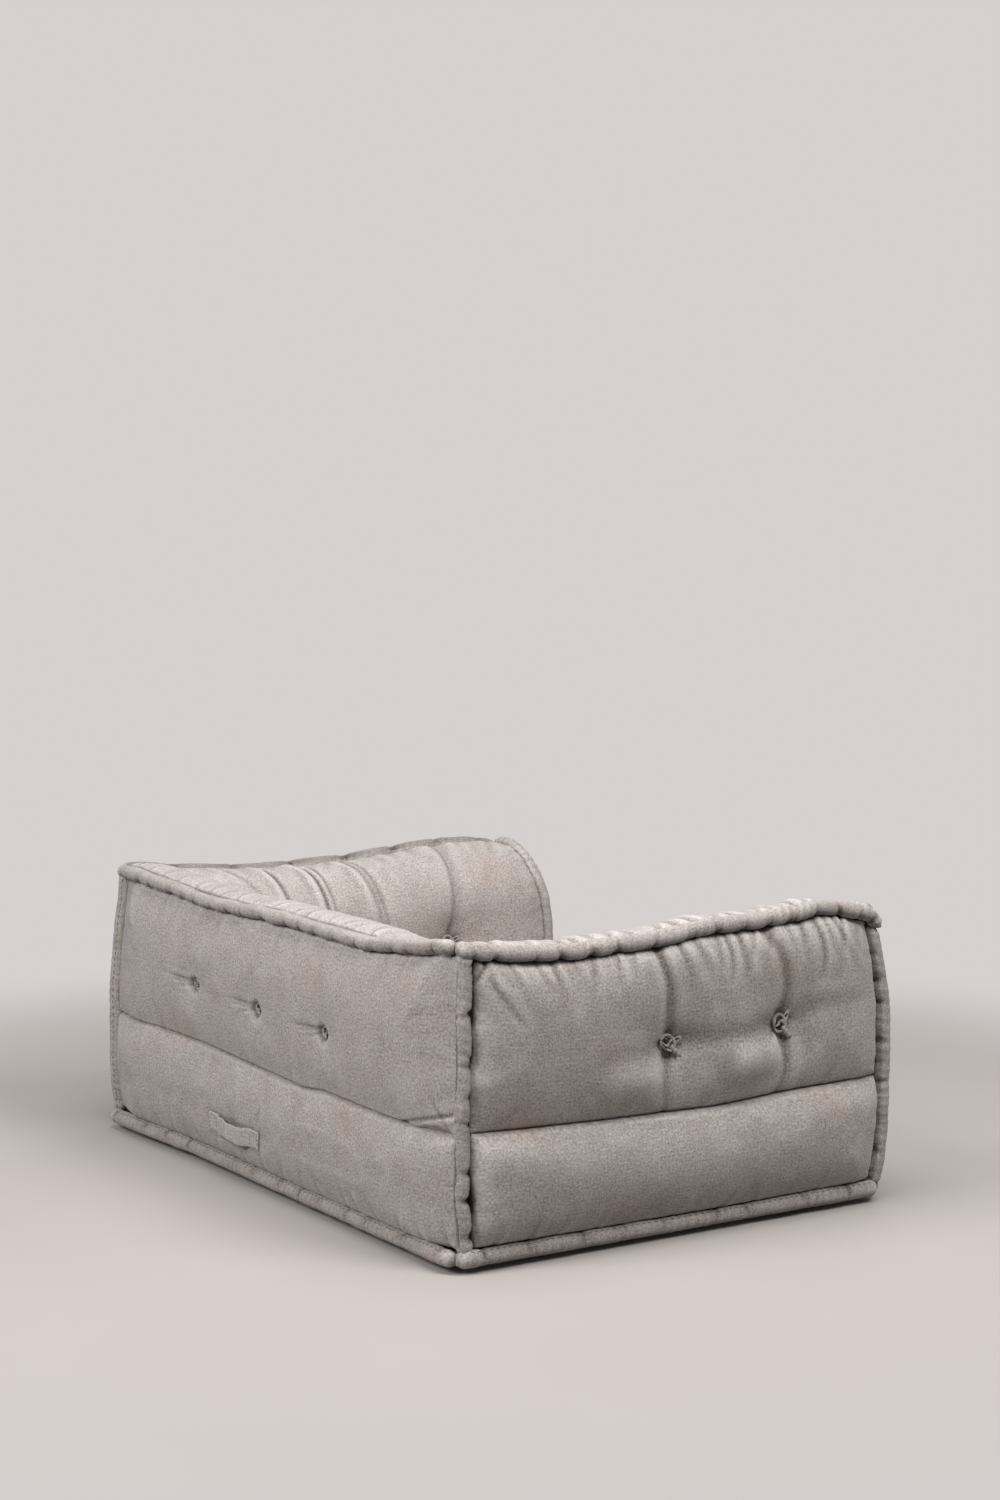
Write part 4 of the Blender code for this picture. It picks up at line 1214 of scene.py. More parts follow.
def underside_panel():
    """The padded cloth under the base, flat where it lies on the floor."""
    def plane(a, b):
        z = np.full(a.shape, UNDERSIDE_TOP)
        return np.stack([a, b, z], axis=-1), np.broadcast_to(np.array((0.0, 0.0, -1.0)), (*a.shape, 3))
    low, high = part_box("bottom_cloth")
    return Panel(
        name="underside_cushion", plane=plane, a_range=straight(low.x, high.x),
        b_range=(low.y, high.y), crown=UNDERSIDE_TOP - 0.001, rounding=0.06, tucks={},
        node="bottom_cloth", seed=600, slot="underside", fill=0.9)


# Rolled edges

@dataclass
class Roll:
    """A stuffed roll: its route, where its seam pulls notches into it, and its wrinkles."""
    name: str
    route: object
    seed: int
    notch: float  # the side of the notches, as a turn from the roll's first direction
    spacing: float = 0.055  # between notches
    depth: float = 0.20  # of a notch, as a share of the radius
    wrap: float = 0.05  # slanted wrinkles, as a share of the radius
    growth: float = 0.0  # how much stronger the wrinkles get towards the far end
    pucker: float = 0.03  # fine stitch puckers, as a share of the radius
    pitch: float = 0.0105  # from one pucker to the next
    plump: float = 1.04
    ends: float = 0.30  # how far the ends are drawn together
    # painted shade: how dark the roll is painted along its seam
    painted_seam_shade: float = 0.8  # how dark it is along its seam
    waver: float = 0.0  # how far it strays from its route
    stitched: tuple = ()  # turns at which a row of stitches runs along it


def evenly(points, step):
    """A polyline, rounded off and put into even steps."""
    points = np.array(points, dtype=float)
    lengths = np.concatenate([[0.0], np.cumsum(np.linalg.norm(np.diff(points, axis=0), axis=1))])
    count = max(8, int(round(lengths[-1] / step)))
    targets = np.linspace(0, lengths[-1], count)
    even = np.stack([np.interp(targets, lengths, points[:, k]) for k in range(3)], axis=1)
    for _ in range(6):
        even[1:-1] = (even[:-2] + 2 * even[1:-1] + even[2:]) / 4
    return even


def arc(middle_point, first, last, radius, start, stop, count=8):
    """Points of an arc about a middle, from angle start to stop, in the plane of two directions."""
    angles = np.linspace(start, stop, count)
    return [np.array(middle_point) + radius * (math.cos(t) * np.array(first) + math.sin(t) * np.array(last))
            for t in angles]


def level_route(side, z, rounds, stops=(None, None)):
    """A roll's route along a side at one height, turning halfway round its corners."""
    end = side.half - ROLL_INSET
    along = np.array((*side.along, 0.0))
    inward = np.array((*side.inward, 0.0))
    points = []
    low_round, high_round = rounds
    if stops[0] is None:
        centre = side.place(-end + low_round, ROLL_INSET + low_round, z)
        points += arc(centre, -along, -inward, low_round, math.pi / 4, math.pi / 2)
    else:
        points.append(side.place(stops[0], ROLL_INSET, z))
    if stops[1] is None:
        centre = side.place(end - high_round, ROLL_INSET + high_round, z)
        points += arc(centre, -inward, along, high_round, 0.0, math.pi / 4)
    else:
        points.append(side.place(stops[1], ROLL_INSET, z))
    return points


REAR_ROUND = 0.036  # how round the corners are in plan
FRONT_ROUND = 0.026
DROP_ROUND = 0.030  # and where an arm's top roll bends down over its front


def corner_rounds(side):
    """How round a side's two corners are in plan."""
    return {"back": (REAR_ROUND, REAR_ROUND), "right_arm": (REAR_ROUND, FRONT_ROUND),
            "left_arm": (FRONT_ROUND, REAR_ROUND), "front": (FRONT_ROUND, FRONT_ROUND)}[side.name]


def arm_top_route(side):
    """An arm's top roll: mitred at the rear, and bent down over the front corner."""
    front = 1 if side is RIGHT_ARM else -1
    along = front * np.array((*side.along, 0.0))
    turn = side.place(front * (side.half - ROLL_INSET - DROP_ROUND), ROLL_INSET, TOP_ROLL_MIDDLE - DROP_ROUND)
    bend = arc(turn, (0, 0, 1), along, DROP_ROUND, 0.0, math.pi / 2)
    if front > 0:
        rear = level_route(side, TOP_ROLL_MIDDLE, corner_rounds(side), (None, 0.0))[:-1]
        return rear + bend
    rear = level_route(side, TOP_ROLL_MIDDLE, corner_rounds(side), (0.0, None))[1:]
    return bend[::-1] + rear


def corner_route(x_sign, y_sign):
    """An upright corner roll, from the bottom roll to the top roll."""
    x = x_sign * (HALF_WIDTH - CORNER_INSET)
    rear = y_sign > 0
    y = y_sign * (HALF_DEPTH - CORNER_INSET - (CORNER_WRAP if rear else 0.0))
    top = TOP_ROLL_MIDDLE - 0.004 if rear else TOP_ROLL_MIDDLE - DROP_ROUND
    if rear and x_sign > 0:
        x += FREE_CORNER[0]
        y += FREE_CORNER[1]
    heights = np.linspace(BOTTOM_ROLL_MIDDLE + 0.006, top, 24)
    return [(x, y - (corner_sway(z) if rear else 0.0), z) for z in heights]


def end_route(side):
    """The roll round the front end of an arm: up the inside, over the shoulder, to the top roll."""
    front = (HALF_DEPTH - ROLL_INSET) * (1 if side is RIGHT_ARM else -1)
    points = []
    for t in np.linspace(-0.004, INNER_LENGTH, 60):
        u, z, level, up = inner_profile(np.array(t))
        points.append(side.place(front, u - ROLL_INSET * level, z - ROLL_INSET * up))
    return points


# Turns round a level roll, from its top outwards, and the seams that draw it in
UP = 0.0
DOWN = math.pi
INWARD = 3 * math.pi / 2
LOW_SEAM = UP + 0.9
HIGH_SEAM = DOWN - 0.6
CROWN_SEAM = INWARD + 0.75

# The upright corner rolls: the signs of x and y, and the turn at which an arm's panel draws them in
CORNERS = {"rear_right": (-1, 1, 2.4), "rear_left": (1, 1, -2.4),
           "front_right": (-1, -1, 0.4), "front_left": (1, -1, -0.4)}


def corner_roll(name, seed):
    """An upright corner roll. The rear ones are cut deep by their notches, and the far one is the plumper."""
    x_sign, y_sign, notch = CORNERS[name]
    route = corner_route(x_sign, y_sign)
    hand = math.copysign(1, notch)
    if y_sign > 0:
        return Roll(f"corner_roll_{name}", route, seed, notch, spacing=0.070, depth=0.42, wrap=0.03,
                    plump=1.10 if x_sign > 0 else 0.98, waver=0.0018, stitched=(-0.65 * hand,))
    return Roll(f"corner_roll_{name}", route, seed, notch, spacing=0.060, depth=0.24, wrap=0.035,
                plump=1.06, waver=0.0018, stitched=(math.pi + 0.5 * hand,))


def all_rolls():
    """Every rolled edge of the sofa."""
    rolls = []
    for number, side in enumerate(SIDES):
        route = level_route(side, BOTTOM_ROLL_MIDDLE, corner_rounds(side))
        rolls.append(Roll(f"bottom_roll_{side.name}", route, 700 + number, LOW_SEAM, spacing=0.11, depth=0.24,
                          wrap=0.035, pucker=0.02, painted_seam_shade=0.2, stitched=(LOW_SEAM - 0.25,)))
    route = level_route(BACK, TOP_ROLL_MIDDLE, corner_rounds(BACK))
    rolls.append(Roll("top_roll_back", route, 710, HIGH_SEAM, plump=0.90, spacing=0.075, depth=0.22,
                      wrap=0.015, pucker=0.20, pitch=0.022, waver=0.0026, stitched=(CROWN_SEAM,)))
    rolls.append(Roll("top_roll_right_arm", arm_top_route(RIGHT_ARM), 711, HIGH_SEAM, spacing=0.072,
                      depth=0.34, wrap=0.02, growth=2.0, stitched=(CROWN_SEAM,)))
    rolls.append(Roll("top_roll_left_arm", arm_top_route(LEFT_ARM), 712, HIGH_SEAM, spacing=0.12, depth=0.36,
                      wrap=0.03, stitched=(CROWN_SEAM,)))
    reach = HALF_WIDTH - WALL - 0.006
    y = -HALF_DEPTH + ROLL_INSET
    z = SEAT_EDGE - ROLL_RADIUS
    rolls.append(Roll("seat_front_roll", [(-reach, y, z), (reach, y, z)], 713, HIGH_SEAM, spacing=0.07,
                      depth=0.26, stitched=(CROWN_SEAM,)))
    for number, name in enumerate(CORNERS):
        rolls.append(corner_roll(name, 720 + number))
    for number, side in enumerate(ARMS):
        notch = math.pi / 2 if side is RIGHT_ARM else -math.pi / 2
        rolls.append(Roll(f"end_roll_{side.name}", end_route(side), 730 + number, notch, spacing=0.05,
                          depth=0.24, wrap=0.05, plump=0.94))
    return rolls


def route_frames(route):
    """Two directions across a route at each of its points, carried along without twisting."""
    way = unit(np.gradient(route, axis=0))
    start = np.array((0.0, 0.0, 1.0)) if abs(way[0][2]) < 0.8 else np.array((0.0, 1.0, 0.0))
    firsts = []
    for direction in way:
        start = start - direction * float(start @ direction)
        start = start / np.linalg.norm(start)
        firsts.append(start)
    firsts = np.array(firsts)
    return firsts, np.cross(way, firsts)


ROLL_STEP = 0.0035
ROLL_SIDES = 24
STRAY_LOBE = 0.055  # length of a bend where a roll strays from its route
LUMP_LENGTHS = (0.09, 0.03)  # of the stuffing's coarse and fine lumps
NOTCH_FOLDS = 3  # fine folds round each notch: their spread, width and depth
NOTCH_SPREAD = 0.008
NOTCH_FOLD_WIDTH = 0.0038
NOTCH_FOLD_DEPTH = 0.45  # as a share of the notch's
WRINKLE_PITCH = 0.019  # of the slanted wrinkles, which come and go in patches
WRINKLE_PATCH = 0.06
WOBBLE = 2.5  # how uneven wrinkles and puckers are, and over which length
WOBBLE_LOBE = 0.05
END_REACH = 0.014  # over which the ends are drawn together
SEAM_SHADE_TURN = 0.70  # how far round a roll the shade of its seam reaches


def notched(s, rows, length):
    """How deep the seam pulls in along a roll: 0 between two notches and up to 1 at one."""
    places = np.array([0.0] + [row[0] for row in rows] + [length])
    strengths = np.array([0.6] + [row[1] for row in rows] + [0.6])
    after = np.clip(np.searchsorted(places, s, side="right"), 1, len(places) - 1)
    share = (s - places[after - 1]) / np.maximum(places[after] - places[after - 1], 1e-6)
    lobe = np.sqrt(np.sin(math.pi * np.clip(share, 0, 1)))
    strength = np.where(share < 0.5, strengths[after - 1], strengths[after])
    return strength * (1 - lobe)


def roll_shape(roll, length, count):
    """Radius of a roll over its length and round it."""
    s = np.linspace(0, length, count)[:, None]
    turn = np.linspace(0, 2 * math.pi, ROLL_SIDES, endpoint=False)[None, :]
    rng = np.random.default_rng(roll.seed + 5)
    rows = marks(roll.seed + 2, 0.0, length, roll.spacing)
    notches = notched(s, rows, length)
    coarse, fine = LUMP_LENGTHS
    radius = roll.plump + 0.06 * wavering(roll.seed, s, coarse)
    radius = radius + 0.04 * patchy(roll.seed + 1, s / fine, turn * 1.2)
    at_seam = 0.5 + 0.5 * np.cos(turn - roll.notch)
    radius = radius - roll.depth * notches * (0.06 + 0.94 * at_seam ** 2)
    from_seam = np.angle(np.exp(1j * (turn - roll.notch)))
    for place, strength, _ in rows:
        for _ in range(NOTCH_FOLDS):
            line = place + rng.normal(0, NOTCH_SPREAD) + 0.006 * rng.uniform(-1, 1) * from_seam
            fold = bell(from_seam, rng.uniform(0.7, 1.8)) * bell(s - line, NOTCH_FOLD_WIDTH)
            radius = radius - NOTCH_FOLD_DEPTH * roll.depth * strength * fold
    slant = 2 * math.pi * s / WRINKLE_PITCH + turn + WOBBLE * wavering(roll.seed + 3, s, WOBBLE_LOBE)
    patches = np.clip(0.5 + wavering(roll.seed + 4, s, WRINKLE_PATCH), 0, 1)
    radius = radius + roll.wrap * (1 + roll.growth * s / length) * patches * np.sin(slant)
    phase = math.pi * s / roll.pitch + WOBBLE * wavering(roll.seed + 6, s, WOBBLE_LOBE)
    radius = radius + roll.pucker * (np.sqrt(np.abs(np.sin(phase))) - 0.6) * at_seam ** 14
    ends = np.minimum(s, length - s) / END_REACH
    radius = radius * (1 - roll.ends * (1 - smooth(ends)))
    # painted shade along the seam, deeper at the notches
    shade = roll.painted_seam_shade * dark(from_seam, SEAM_SHADE_TURN) * (0.4 + 0.6 * notches)
    return radius * ROLL_RADIUS, shade, s + 0.0 * turn, turn + 0.0 * s


def make_roll(roll, material, thread, sizes):
    """Builds one stuffed roll as a closed tube, with its rows of stitches."""
    route = evenly(roll.route, ROLL_STEP)
    first, second = route_frames(route)
    length = ROLL_STEP * (len(route) - 1)
    radius, shade, s, turn = roll_shape(roll, length, len(route))
    for number, way in enumerate((first, second)):
        route = route + roll.waver * wavering(roll.seed + 20 + number, s[:, :1], STRAY_LOBE) * way
    round_way = np.cos(turn)[..., None] * first[:, None, :] + np.sin(turn)[..., None] * second[:, None, :]
    grid = settle(route[:, None, :] + radius[..., None] * round_way)
    normals = grid_normals(grid, wrap=True)
    normals *= np.sign(np.sum(normals * round_way, axis=-1, keepdims=True))
    uv = np.stack([s, turn * ROLL_RADIUS], axis=-1)
    faces = tube_faces(*grid.shape[:2], 0)
    folds = folds_of(grid, normals, wrap=True)
    piece = new_piece(f"{roll.name}_stuffed", grid, faces, uv, folds, material, shade)
    hand_over(piece, "sofa", [roll.name])
    if roll.stitched:
        stitch_roll(roll, route, first, second, radius, thread, sizes)


def stitch_roll(roll, route, first, second, radius, thread, sizes):
    """Rows of running stitches along a roll."""
    places, ways, outs = [], [], []
    way = unit(np.gradient(route, axis=0))
    every = max(2, int(round(sizes.stitch_pitch / ROLL_STEP)))
    for turn in roll.stitched:
        column = int(round(turn / (2 * math.pi) * ROLL_SIDES)) % ROLL_SIDES
        angle = 2 * math.pi * column / ROLL_SIDES
        out = math.cos(angle) * first + math.sin(angle) * second
        for number in range(4, len(route) - 4, every):
            places.append(route[number] + radius[number, column] * out[number])
            ways.append(way[number])
            outs.append(out[number])
    places = settle(np.array(places))
    stitches = thread_dashes(f"{roll.name}_stitches", places, ways, outs, sizes.stitch_length,
                             sizes.stitch_radius, thread)
    hand_over(stitches, "sofa", [])


# Rosettes, twines and the strap

def swept(route, first, second, wide, thick, sides=12):
    """A grid round a route with an oval section; wide and thick are arrays along it."""
    turn = np.linspace(0, 2 * math.pi, sides, endpoint=False)[None, :, None]
    return route[:, None, :] + wide[:, None, None] * np.cos(turn) * first[:, None, :] + \
        thick[:, None, None] * np.sin(turn) * second[:, None, :]


def tube_uv(along, around):
    """UVs of a tube's points, from its lengths along and around."""
    return np.stack(np.broadcast_arrays(along[:, None], around[None, :]), axis=-1).reshape(-1, 2)


def tube_faces(rows, columns, start):
    """Faces of a closed tube whose points begin at a number."""
    faces = (quads(rows, columns, wrap=True) + start).tolist()
    faces.append([start + number for number in range(columns)])
    faces.append([start + (rows - 1) * columns + number for number in range(columns)][::-1])
    return faces


def rosette_strands(radius, height, rng):
    """Routes of the twisted scraps of one rosette, in its own plane with z outwards, and their widths as
    shares of its radius. Each is drawn in shares of the rosette's radius and height."""
    turn = rng.uniform(0, 2 * math.pi)
    share = np.linspace(0, 1, 48)
    angle = turn + 2 * math.pi * share
    arch = np.sin(math.pi * share)
    # an open oval loop
    oval = 0.58 * (1 + 0.14 * np.sin(2 * angle + turn))
    loop = (oval * np.cos(angle) - 0.12, oval * np.sin(angle) + 0.16, 0.60 + 0.20 * np.sin(angle + 1.7))
    # a wavy scrap across it
    across = (1.1 * share - 0.65, 0.16 + 0.20 * np.sin(angle), 0.55 + 0.35 * arch)
    # an ear that goes out at its side and comes back
    way = 0.6 + rng.uniform(-0.4, 0.4)
    out = 0.45 + 0.75 * arch
    beside = 0.20 * np.cos(math.pi * share)
    ear = (out * math.cos(way) - beside * math.sin(way), out * math.sin(way) + beside * math.cos(way),
           0.70 + 0.0 * share)
    # a tail that hangs down
    way = -0.95 + rng.uniform(-0.25, 0.25) + 0.25 * share
    out = 0.15 + 1.60 * share
    tail = (out * np.cos(way), out * np.sin(way), 0.85 - 0.40 * share)
    strands = ((loop, 0.19), (across, 0.14), (ear, 0.13), (tail, 0.30))
    return [(np.stack([radius * x, radius * y, height * z], axis=1), width) for (x, y, z), width in strands]


SCRAP_UV = (0.12, 0.05)  # length and girth of a scrap, for its weave
SCRAP_FLAT = 0.6  # how thick a scrap is, as a share of its width


def make_rosette(node, normal, size, seed, material):
    """A rosette of twisted cloth scraps, tied down in its dimple."""
    rng = np.random.default_rng(seed)
    low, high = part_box(node)
    out = np.array(normal, dtype=float)
    spans = np.array(high) - np.array(low)
    depth = float(abs(spans @ out))
    base = np.array((low + high) / 2) - out * depth / 2
    if not node.startswith("seat_"):
        base[2] -= rosette_sag(node)
    side_way = np.cross((0.0, 0.0, 1.0), out) if abs(out[2]) < 0.5 else np.array((1.0, 0.0, 0.0))
    up_way = np.cross(out, side_way)
    radius = 0.5 * size * float(spans.max())
    points, faces, uvs, folds, shades = [], [], [], [], []
    start = 0
    for route, width in rosette_strands(radius, depth, rng):
        route = base + route[:, :1] * side_way + route[:, 1:2] * up_way + route[:, 2:] * out
        first, second = route_frames(route)
        along = np.linspace(0, 1, len(route))
        twist = 2 * math.pi * along * rng.uniform(0.8, 1.6)
        turned = np.cos(twist)[:, None] * first + np.sin(twist)[:, None] * second
        other = np.cos(twist)[:, None] * second - np.sin(twist)[:, None] * first
        taper = 0.60 + 0.40 * np.sin(math.pi * along)
        ripple = 1 + 0.18 * np.sin(2 * math.pi * along * 5 + rng.uniform(0, 6))
        thickness = SCRAP_FLAT * width * radius
        grid = swept(route, turned, other, width * radius * taper * ripple, thickness * taper)
        rows, columns = grid.shape[:2]
        points.append(grid.reshape(-1, 3))
        faces += tube_faces(rows, columns, start)
        start += rows * columns
        uvs.append(tube_uv(along * SCRAP_UV[0], np.linspace(0, SCRAP_UV[1], columns)))
        folds.append(folds_of(grid, grid_normals(grid, True), True).ravel())
        lift = (grid - route[:, None, :]) @ out / thickness
        shades.append(ROSETTE_SHADE * (1 - smooth(0.8 + lift)).ravel())
    points = settle(np.concatenate(points))
    piece = new_piece(f"{node}_twisted", points, faces, np.concatenate(uvs), np.concatenate(folds), material,
                      np.concatenate(shades))
    return hand_over(piece, "sofa", [node])


def make_twine(node, material):
    """Two strands of waxed thread twisted together between two rosettes."""
    low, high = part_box(node)
    spans = np.array(high) - np.array(low)
    axis = int(np.argmax(spans))
    length = spans[axis]
    start = np.array((low + high) / 2)
    start[axis] = low[axis]
    way = np.eye(3)[axis]
    one = np.eye(3)[(axis + 1) % 3]
    two = np.eye(3)[(axis + 2) % 3]
    strand = 0.0010
    girth = 0.006
    lay = 0.012
    sides = 8
    travel = np.linspace(0, length, 120)
    thick = np.full(len(travel), strand)
    points, faces, uvs = [], [], []
    for number in range(2):
        angle = 2 * math.pi * travel / lay + math.pi * number
        off = np.cos(angle)[:, None] * one + np.sin(angle)[:, None] * two
        route = start + travel[:, None] * way + strand * off
        first, second = route_frames(route)
        grid = swept(route, first, second, thick, thick, sides)
        faces += tube_faces(*grid.shape[:2], number * grid.shape[0] * grid.shape[1])
        points.append(settle(grid).reshape(-1, 3))
        uvs.append(tube_uv(travel, np.linspace(0, girth, sides)))
    points = np.concatenate(points)
    piece = new_piece(f"{node}_twisted", points, faces, np.concatenate(uvs), np.zeros(len(points)), material)
    return hand_over(piece, "sofa", [node])


STRAP_SIDES = 28
STRAP_STITCH = 0.6  # the strap's stitches are this much finer
STRAP_WAVE = 0.0030  # how far the grip waves out, and up and down
STRAP_SLOPE = 2.6  # the up and down: a turn at the grip's ends
STRAP_WAIST = 0.10  # how much narrower the grip is at its middle
SEWN_SHARE = 0.58  # of an end that is stitched down
RISE_FROM = 0.60  # share of an end from which it rises to the grip
RISE_OVER = 0.38


def strap_length(name, x, y, drop, half_width, material):
    """A length of folded strap along arrays of x and y that rises by drop. The whole strap carries a faint
    painted highlight, and its edges, rubbed pale, a stronger one.
    """
    height = (GRIP_LOW.z + GRIP_HIGH.z) / 2
    half_thick = (GRIP_HIGH.y - GRIP_LOW.y) / 2
    route = np.stack([x, y, height + drop], axis=1)
    turn = np.linspace(0, 2 * math.pi, STRAP_SIDES, endpoint=False)
    square = 0.35
    edge_thinning = 0.0008
    across = np.sign(np.cos(turn)) * np.abs(np.cos(turn)) ** square
    through = np.sign(np.sin(turn)) * np.abs(np.sin(turn)) ** square
    way = np.gradient(route, axis=0)
    out = unit(np.stack([-way[:, 1], way[:, 0], 0 * x], axis=1))
    out *= np.sign(out[:, 1:2])
    grid = route[:, None, :] + half_thick * through[None, :, None] * out[:, None, :]
    grid = grid + (half_width[:, None] * across[None, :])[..., None] * np.array((0.0, 0.0, 1.0))
    edge = np.abs(across)[None, :, None] ** 6
    grid = grid - edge_thinning * edge * np.sign(through)[None, :, None] * out[:, None, :]
    grid = settle(grid)
    uv = np.stack(np.broadcast_arrays(x[:, None], (across * half_width.mean())[None, :]), axis=-1)
    # painted highlight: the strap a little paler than the band, its rubbed edges paler still
    folds = np.broadcast_to(np.where(np.abs(across) > 0.97, 0.9, 0.3)[None, :], grid.shape[:2])
    faces = tube_faces(*grid.shape[:2], 0)
    return new_piece(name, grid, faces, uv, folds, material)


def thread_dashes(name, places, ways, outs, length, radius, material):
    """Short threads lying on a seam: one dash for each place, its way and its outward direction."""
    points, faces, uvs = [], [], []
    sides = 6
    for place, way, out in zip(places, ways, outs):
        across = np.cross(way, out)
        start = len(points)
        for share, size in ((-0.5, 0.35), (-0.3, 1.0), (0.3, 1.0), (0.5, 0.35)):
            for number in range(sides):
                angle = 2 * math.pi * number / sides
                lift = radius * size * math.sin(angle) - 0.6 * radius * (1 - size)
                beside = across * radius * size * math.cos(angle)
                points.append(place + way * share * length + out * lift + beside)
                uvs.append((share * length, number * radius))
        faces += tube_faces(4, sides, start)
    points = np.array(points)
    return new_piece(name, points, faces, np.array(uvs), np.zeros(len(points)), material)


FOAM_CELL = 0.10  # longer edges of a foam core are cut up, so that it can sag
FOAM_CUTS = 7
FOAM_SHRINK = 0.010  # how much smaller the foam is than its cover leaves room for


def make_foam(name, material):
    """A foam core with its cut edges eased, that has shrunk a little and sags with its cover."""
    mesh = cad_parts[name].data.copy()
    shape = bmesh.new()
    shape.from_mesh(mesh)
    bmesh.ops.remove_doubles(shape, verts=shape.verts, dist=1e-5)
    bmesh.ops.bevel(shape, geom=shape.edges[:], offset=0.004, segments=2, affect="EDGES", profile=0.6,
                    clamp_overlap=True)
    long_edges = [edge for edge in shape.edges if edge.calc_length() > FOAM_CELL]
    bmesh.ops.subdivide_edges(shape, edges=long_edges, cuts=FOAM_CUTS, use_grid_fill=True)
    shape.normal_update()
    settled = settle([vertex.co - FOAM_SHRINK * vertex.normal for vertex in shape.verts])
    for vertex, place in zip(shape.verts, settled):
        vertex.co = place
    shape.to_mesh(mesh)
    shape.free()
    mesh.materials.clear()
    mesh.materials.append(material)
    mesh.name = f"{name}_cut"
    return hand_over(new_object(f"{name}_cut", mesh), "sofa", [name])


def sew_strap_end(name, low_x, high_x, y, thread, sizes):
    """A sewn box of stitches that holds one end of the strap."""
    inset = 0.005
    left, right = low_x + inset, high_x - inset
    bottom, top = GRIP_LOW.z + inset, GRIP_HIGH.z - inset
    corners = [(left, bottom), (right, bottom), (right, top), (left, top), (left, bottom)]
    pitch = STRAP_STITCH * sizes.stitch_pitch
    places, ways, outs = [], [], []
    for (x0, z0), (x1, z1) in zip(corners[:-1], corners[1:]):
        reach = math.hypot(x1 - x0, z1 - z0)
        for number in range(int(reach / pitch)):
            share = (number + 0.5) * pitch / reach
            places.append((x0 + (x1 - x0) * share, y, z0 + (z1 - z0) * share))
            ways.append(np.array(((x1 - x0) / reach, 0.0, (z1 - z0) / reach)))
            outs.append(np.array((0.0, 1.0, 0.0)))
    length = STRAP_STITCH * sizes.stitch_length
    stitches = thread_dashes(f"{name}_stitches", settle(np.array(places)), ways, outs, length,
                             sizes.stitch_radius, thread)
    hand_over(stitches, "sofa", [])


def make_strap(material, thread, sizes):
    """The carrying strap: a loose wavy grip, and two ends that are sewn down."""
    middle_x = (GRIP_LOW.x + GRIP_HIGH.x) / 2
    half_width = (GRIP_HIGH.z - GRIP_LOW.z) / 2
    grip_y = (GRIP_LOW.y + GRIP_HIGH.y) / 2
    half_grip = (GRIP_HIGH.x - GRIP_LOW.x) / 2
    thickness = GRIP_HIGH.y - GRIP_LOW.y
    x = np.linspace(-half_grip - 0.002, half_grip + 0.002, 61)
    inner = np.cos(x / half_grip * math.pi / 2)
    wave = STRAP_WAVE * (0.6 + np.sin(x / half_grip * 4.2 + 0.6)) * inner
    drop = STRAP_WAVE * np.sin(x / half_grip * STRAP_SLOPE)
    width = half_width * (1 - STRAP_WAIST * inner)
    grip = strap_length("strap_grip_folded", middle_x + x, grip_y + wave, drop, width, material)
    hand_over(grip, "strap", ["strap_grip"])
    for name, sign in (("strap_end_right", -1), ("strap_end_left", 1)):
        low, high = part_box(name)
        far = low.x if sign < 0 else high.x
        near = high.x if sign < 0 else low.x
        patch_y = low.y + thickness / 2
        share = np.linspace(0, 1, 49)
        x = far + (near - far) * share
        rise = smooth((share - RISE_FROM) / RISE_OVER)
        y = patch_y + (grip_y - patch_y) * rise
        drop = STRAP_WAVE * math.sin(STRAP_SLOPE * sign) * rise
        width = half_width * np.ones_like(x)
        end = strap_length(f"{name}_sewn", x, y, drop, width, material)
        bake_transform(end)
        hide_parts(name)
        sewn = sorted((far, far + (near - far) * SEWN_SHARE))
        sew_strap_end(name, *sewn, patch_y + thickness / 2, thread, sizes)


# The stage

FLOOR_HALF = 40.0  # half of the floor's side
FLOOR_NEAR = 1.4  # from here on the floor passes into the backdrop's tone
FLOOR_FAR = 2.6


def make_stage(colours):
    """A plain pale floor."""
    corners = [(-FLOOR_HALF, -FLOOR_HALF, 0.0), (FLOOR_HALF, -FLOOR_HALF, 0.0), (FLOOR_HALF, FLOOR_HALF, 0.0),
               (-FLOOR_HALF, FLOOR_HALF, 0.0)]
    mesh = bpy.data.meshes.new("stage_floor")
    mesh.from_pydata(corners, [], [(0, 1, 2, 3)])
    mesh.materials.append(rolled_paint(colours, FLOOR_NEAR, FLOOR_FAR))
    new_object("stage_floor", mesh)


# The lamps: place, side of the square in metres, and watts
LAMPS = {
    "key_above": ((-0.8, 0.4, 3.2), 2.2, 60.0),
    "side_back": ((-0.2, 4.2, 2.9), 1.8, 120.0),
    "side_arm": ((-3.0, -0.8, 3.8), 1.6, 92.0),
    "front_fill": ((2.8, -3.4, 2.6), 2.2, 30.0),
}
LAMP_TARGET = (0.0, 0.0, 0.3)
FILL_COLOUR = "#F2F2F4"
FILL_STRENGTH = 0.22


def make_lamp(name, place, size, power):
    """A soft square lamp that faces the sofa."""
    lamp = bpy.data.lights.new(name, "AREA")
    lamp.shape = "SQUARE"
    lamp.size = size
    lamp.energy = power
    holder = new_object(name, lamp)
    holder.location = place
    holder.rotation_euler = (Vector(LAMP_TARGET) - Vector(place)).to_track_quat("-Z", "Y").to_euler()


def make_lights(colours):
    """Soft light from above, from the back, the arm and the front, with an even fill from all round."""
    world = bpy.data.worlds.new("soft_studio")
    bpy.context.scene.world = world
    world.use_nodes = True
    tree = world.node_tree
    fill = tree.nodes["Background"]
    fill.inputs["Color"].default_value = (*colour(FILL_COLOUR), 1)
    fill.inputs["Strength"].default_value = FILL_STRENGTH
    pale = add_node(tree, "Background", {"Color": (*colours.backdrop, 1), "Strength": 1.0})
    pick = add_node(tree, "MixShader", {0: seen_directly(tree), 1: fill.outputs["Background"],
                                        2: pale.outputs["Background"]})
    tree.links.new(pick.outputs["Shader"], tree.nodes["World Output"].inputs["Surface"])
    for name, settings in LAMPS.items():
        make_lamp(name, *settings)
    bpy.context.scene.view_settings.view_transform = "Standard"


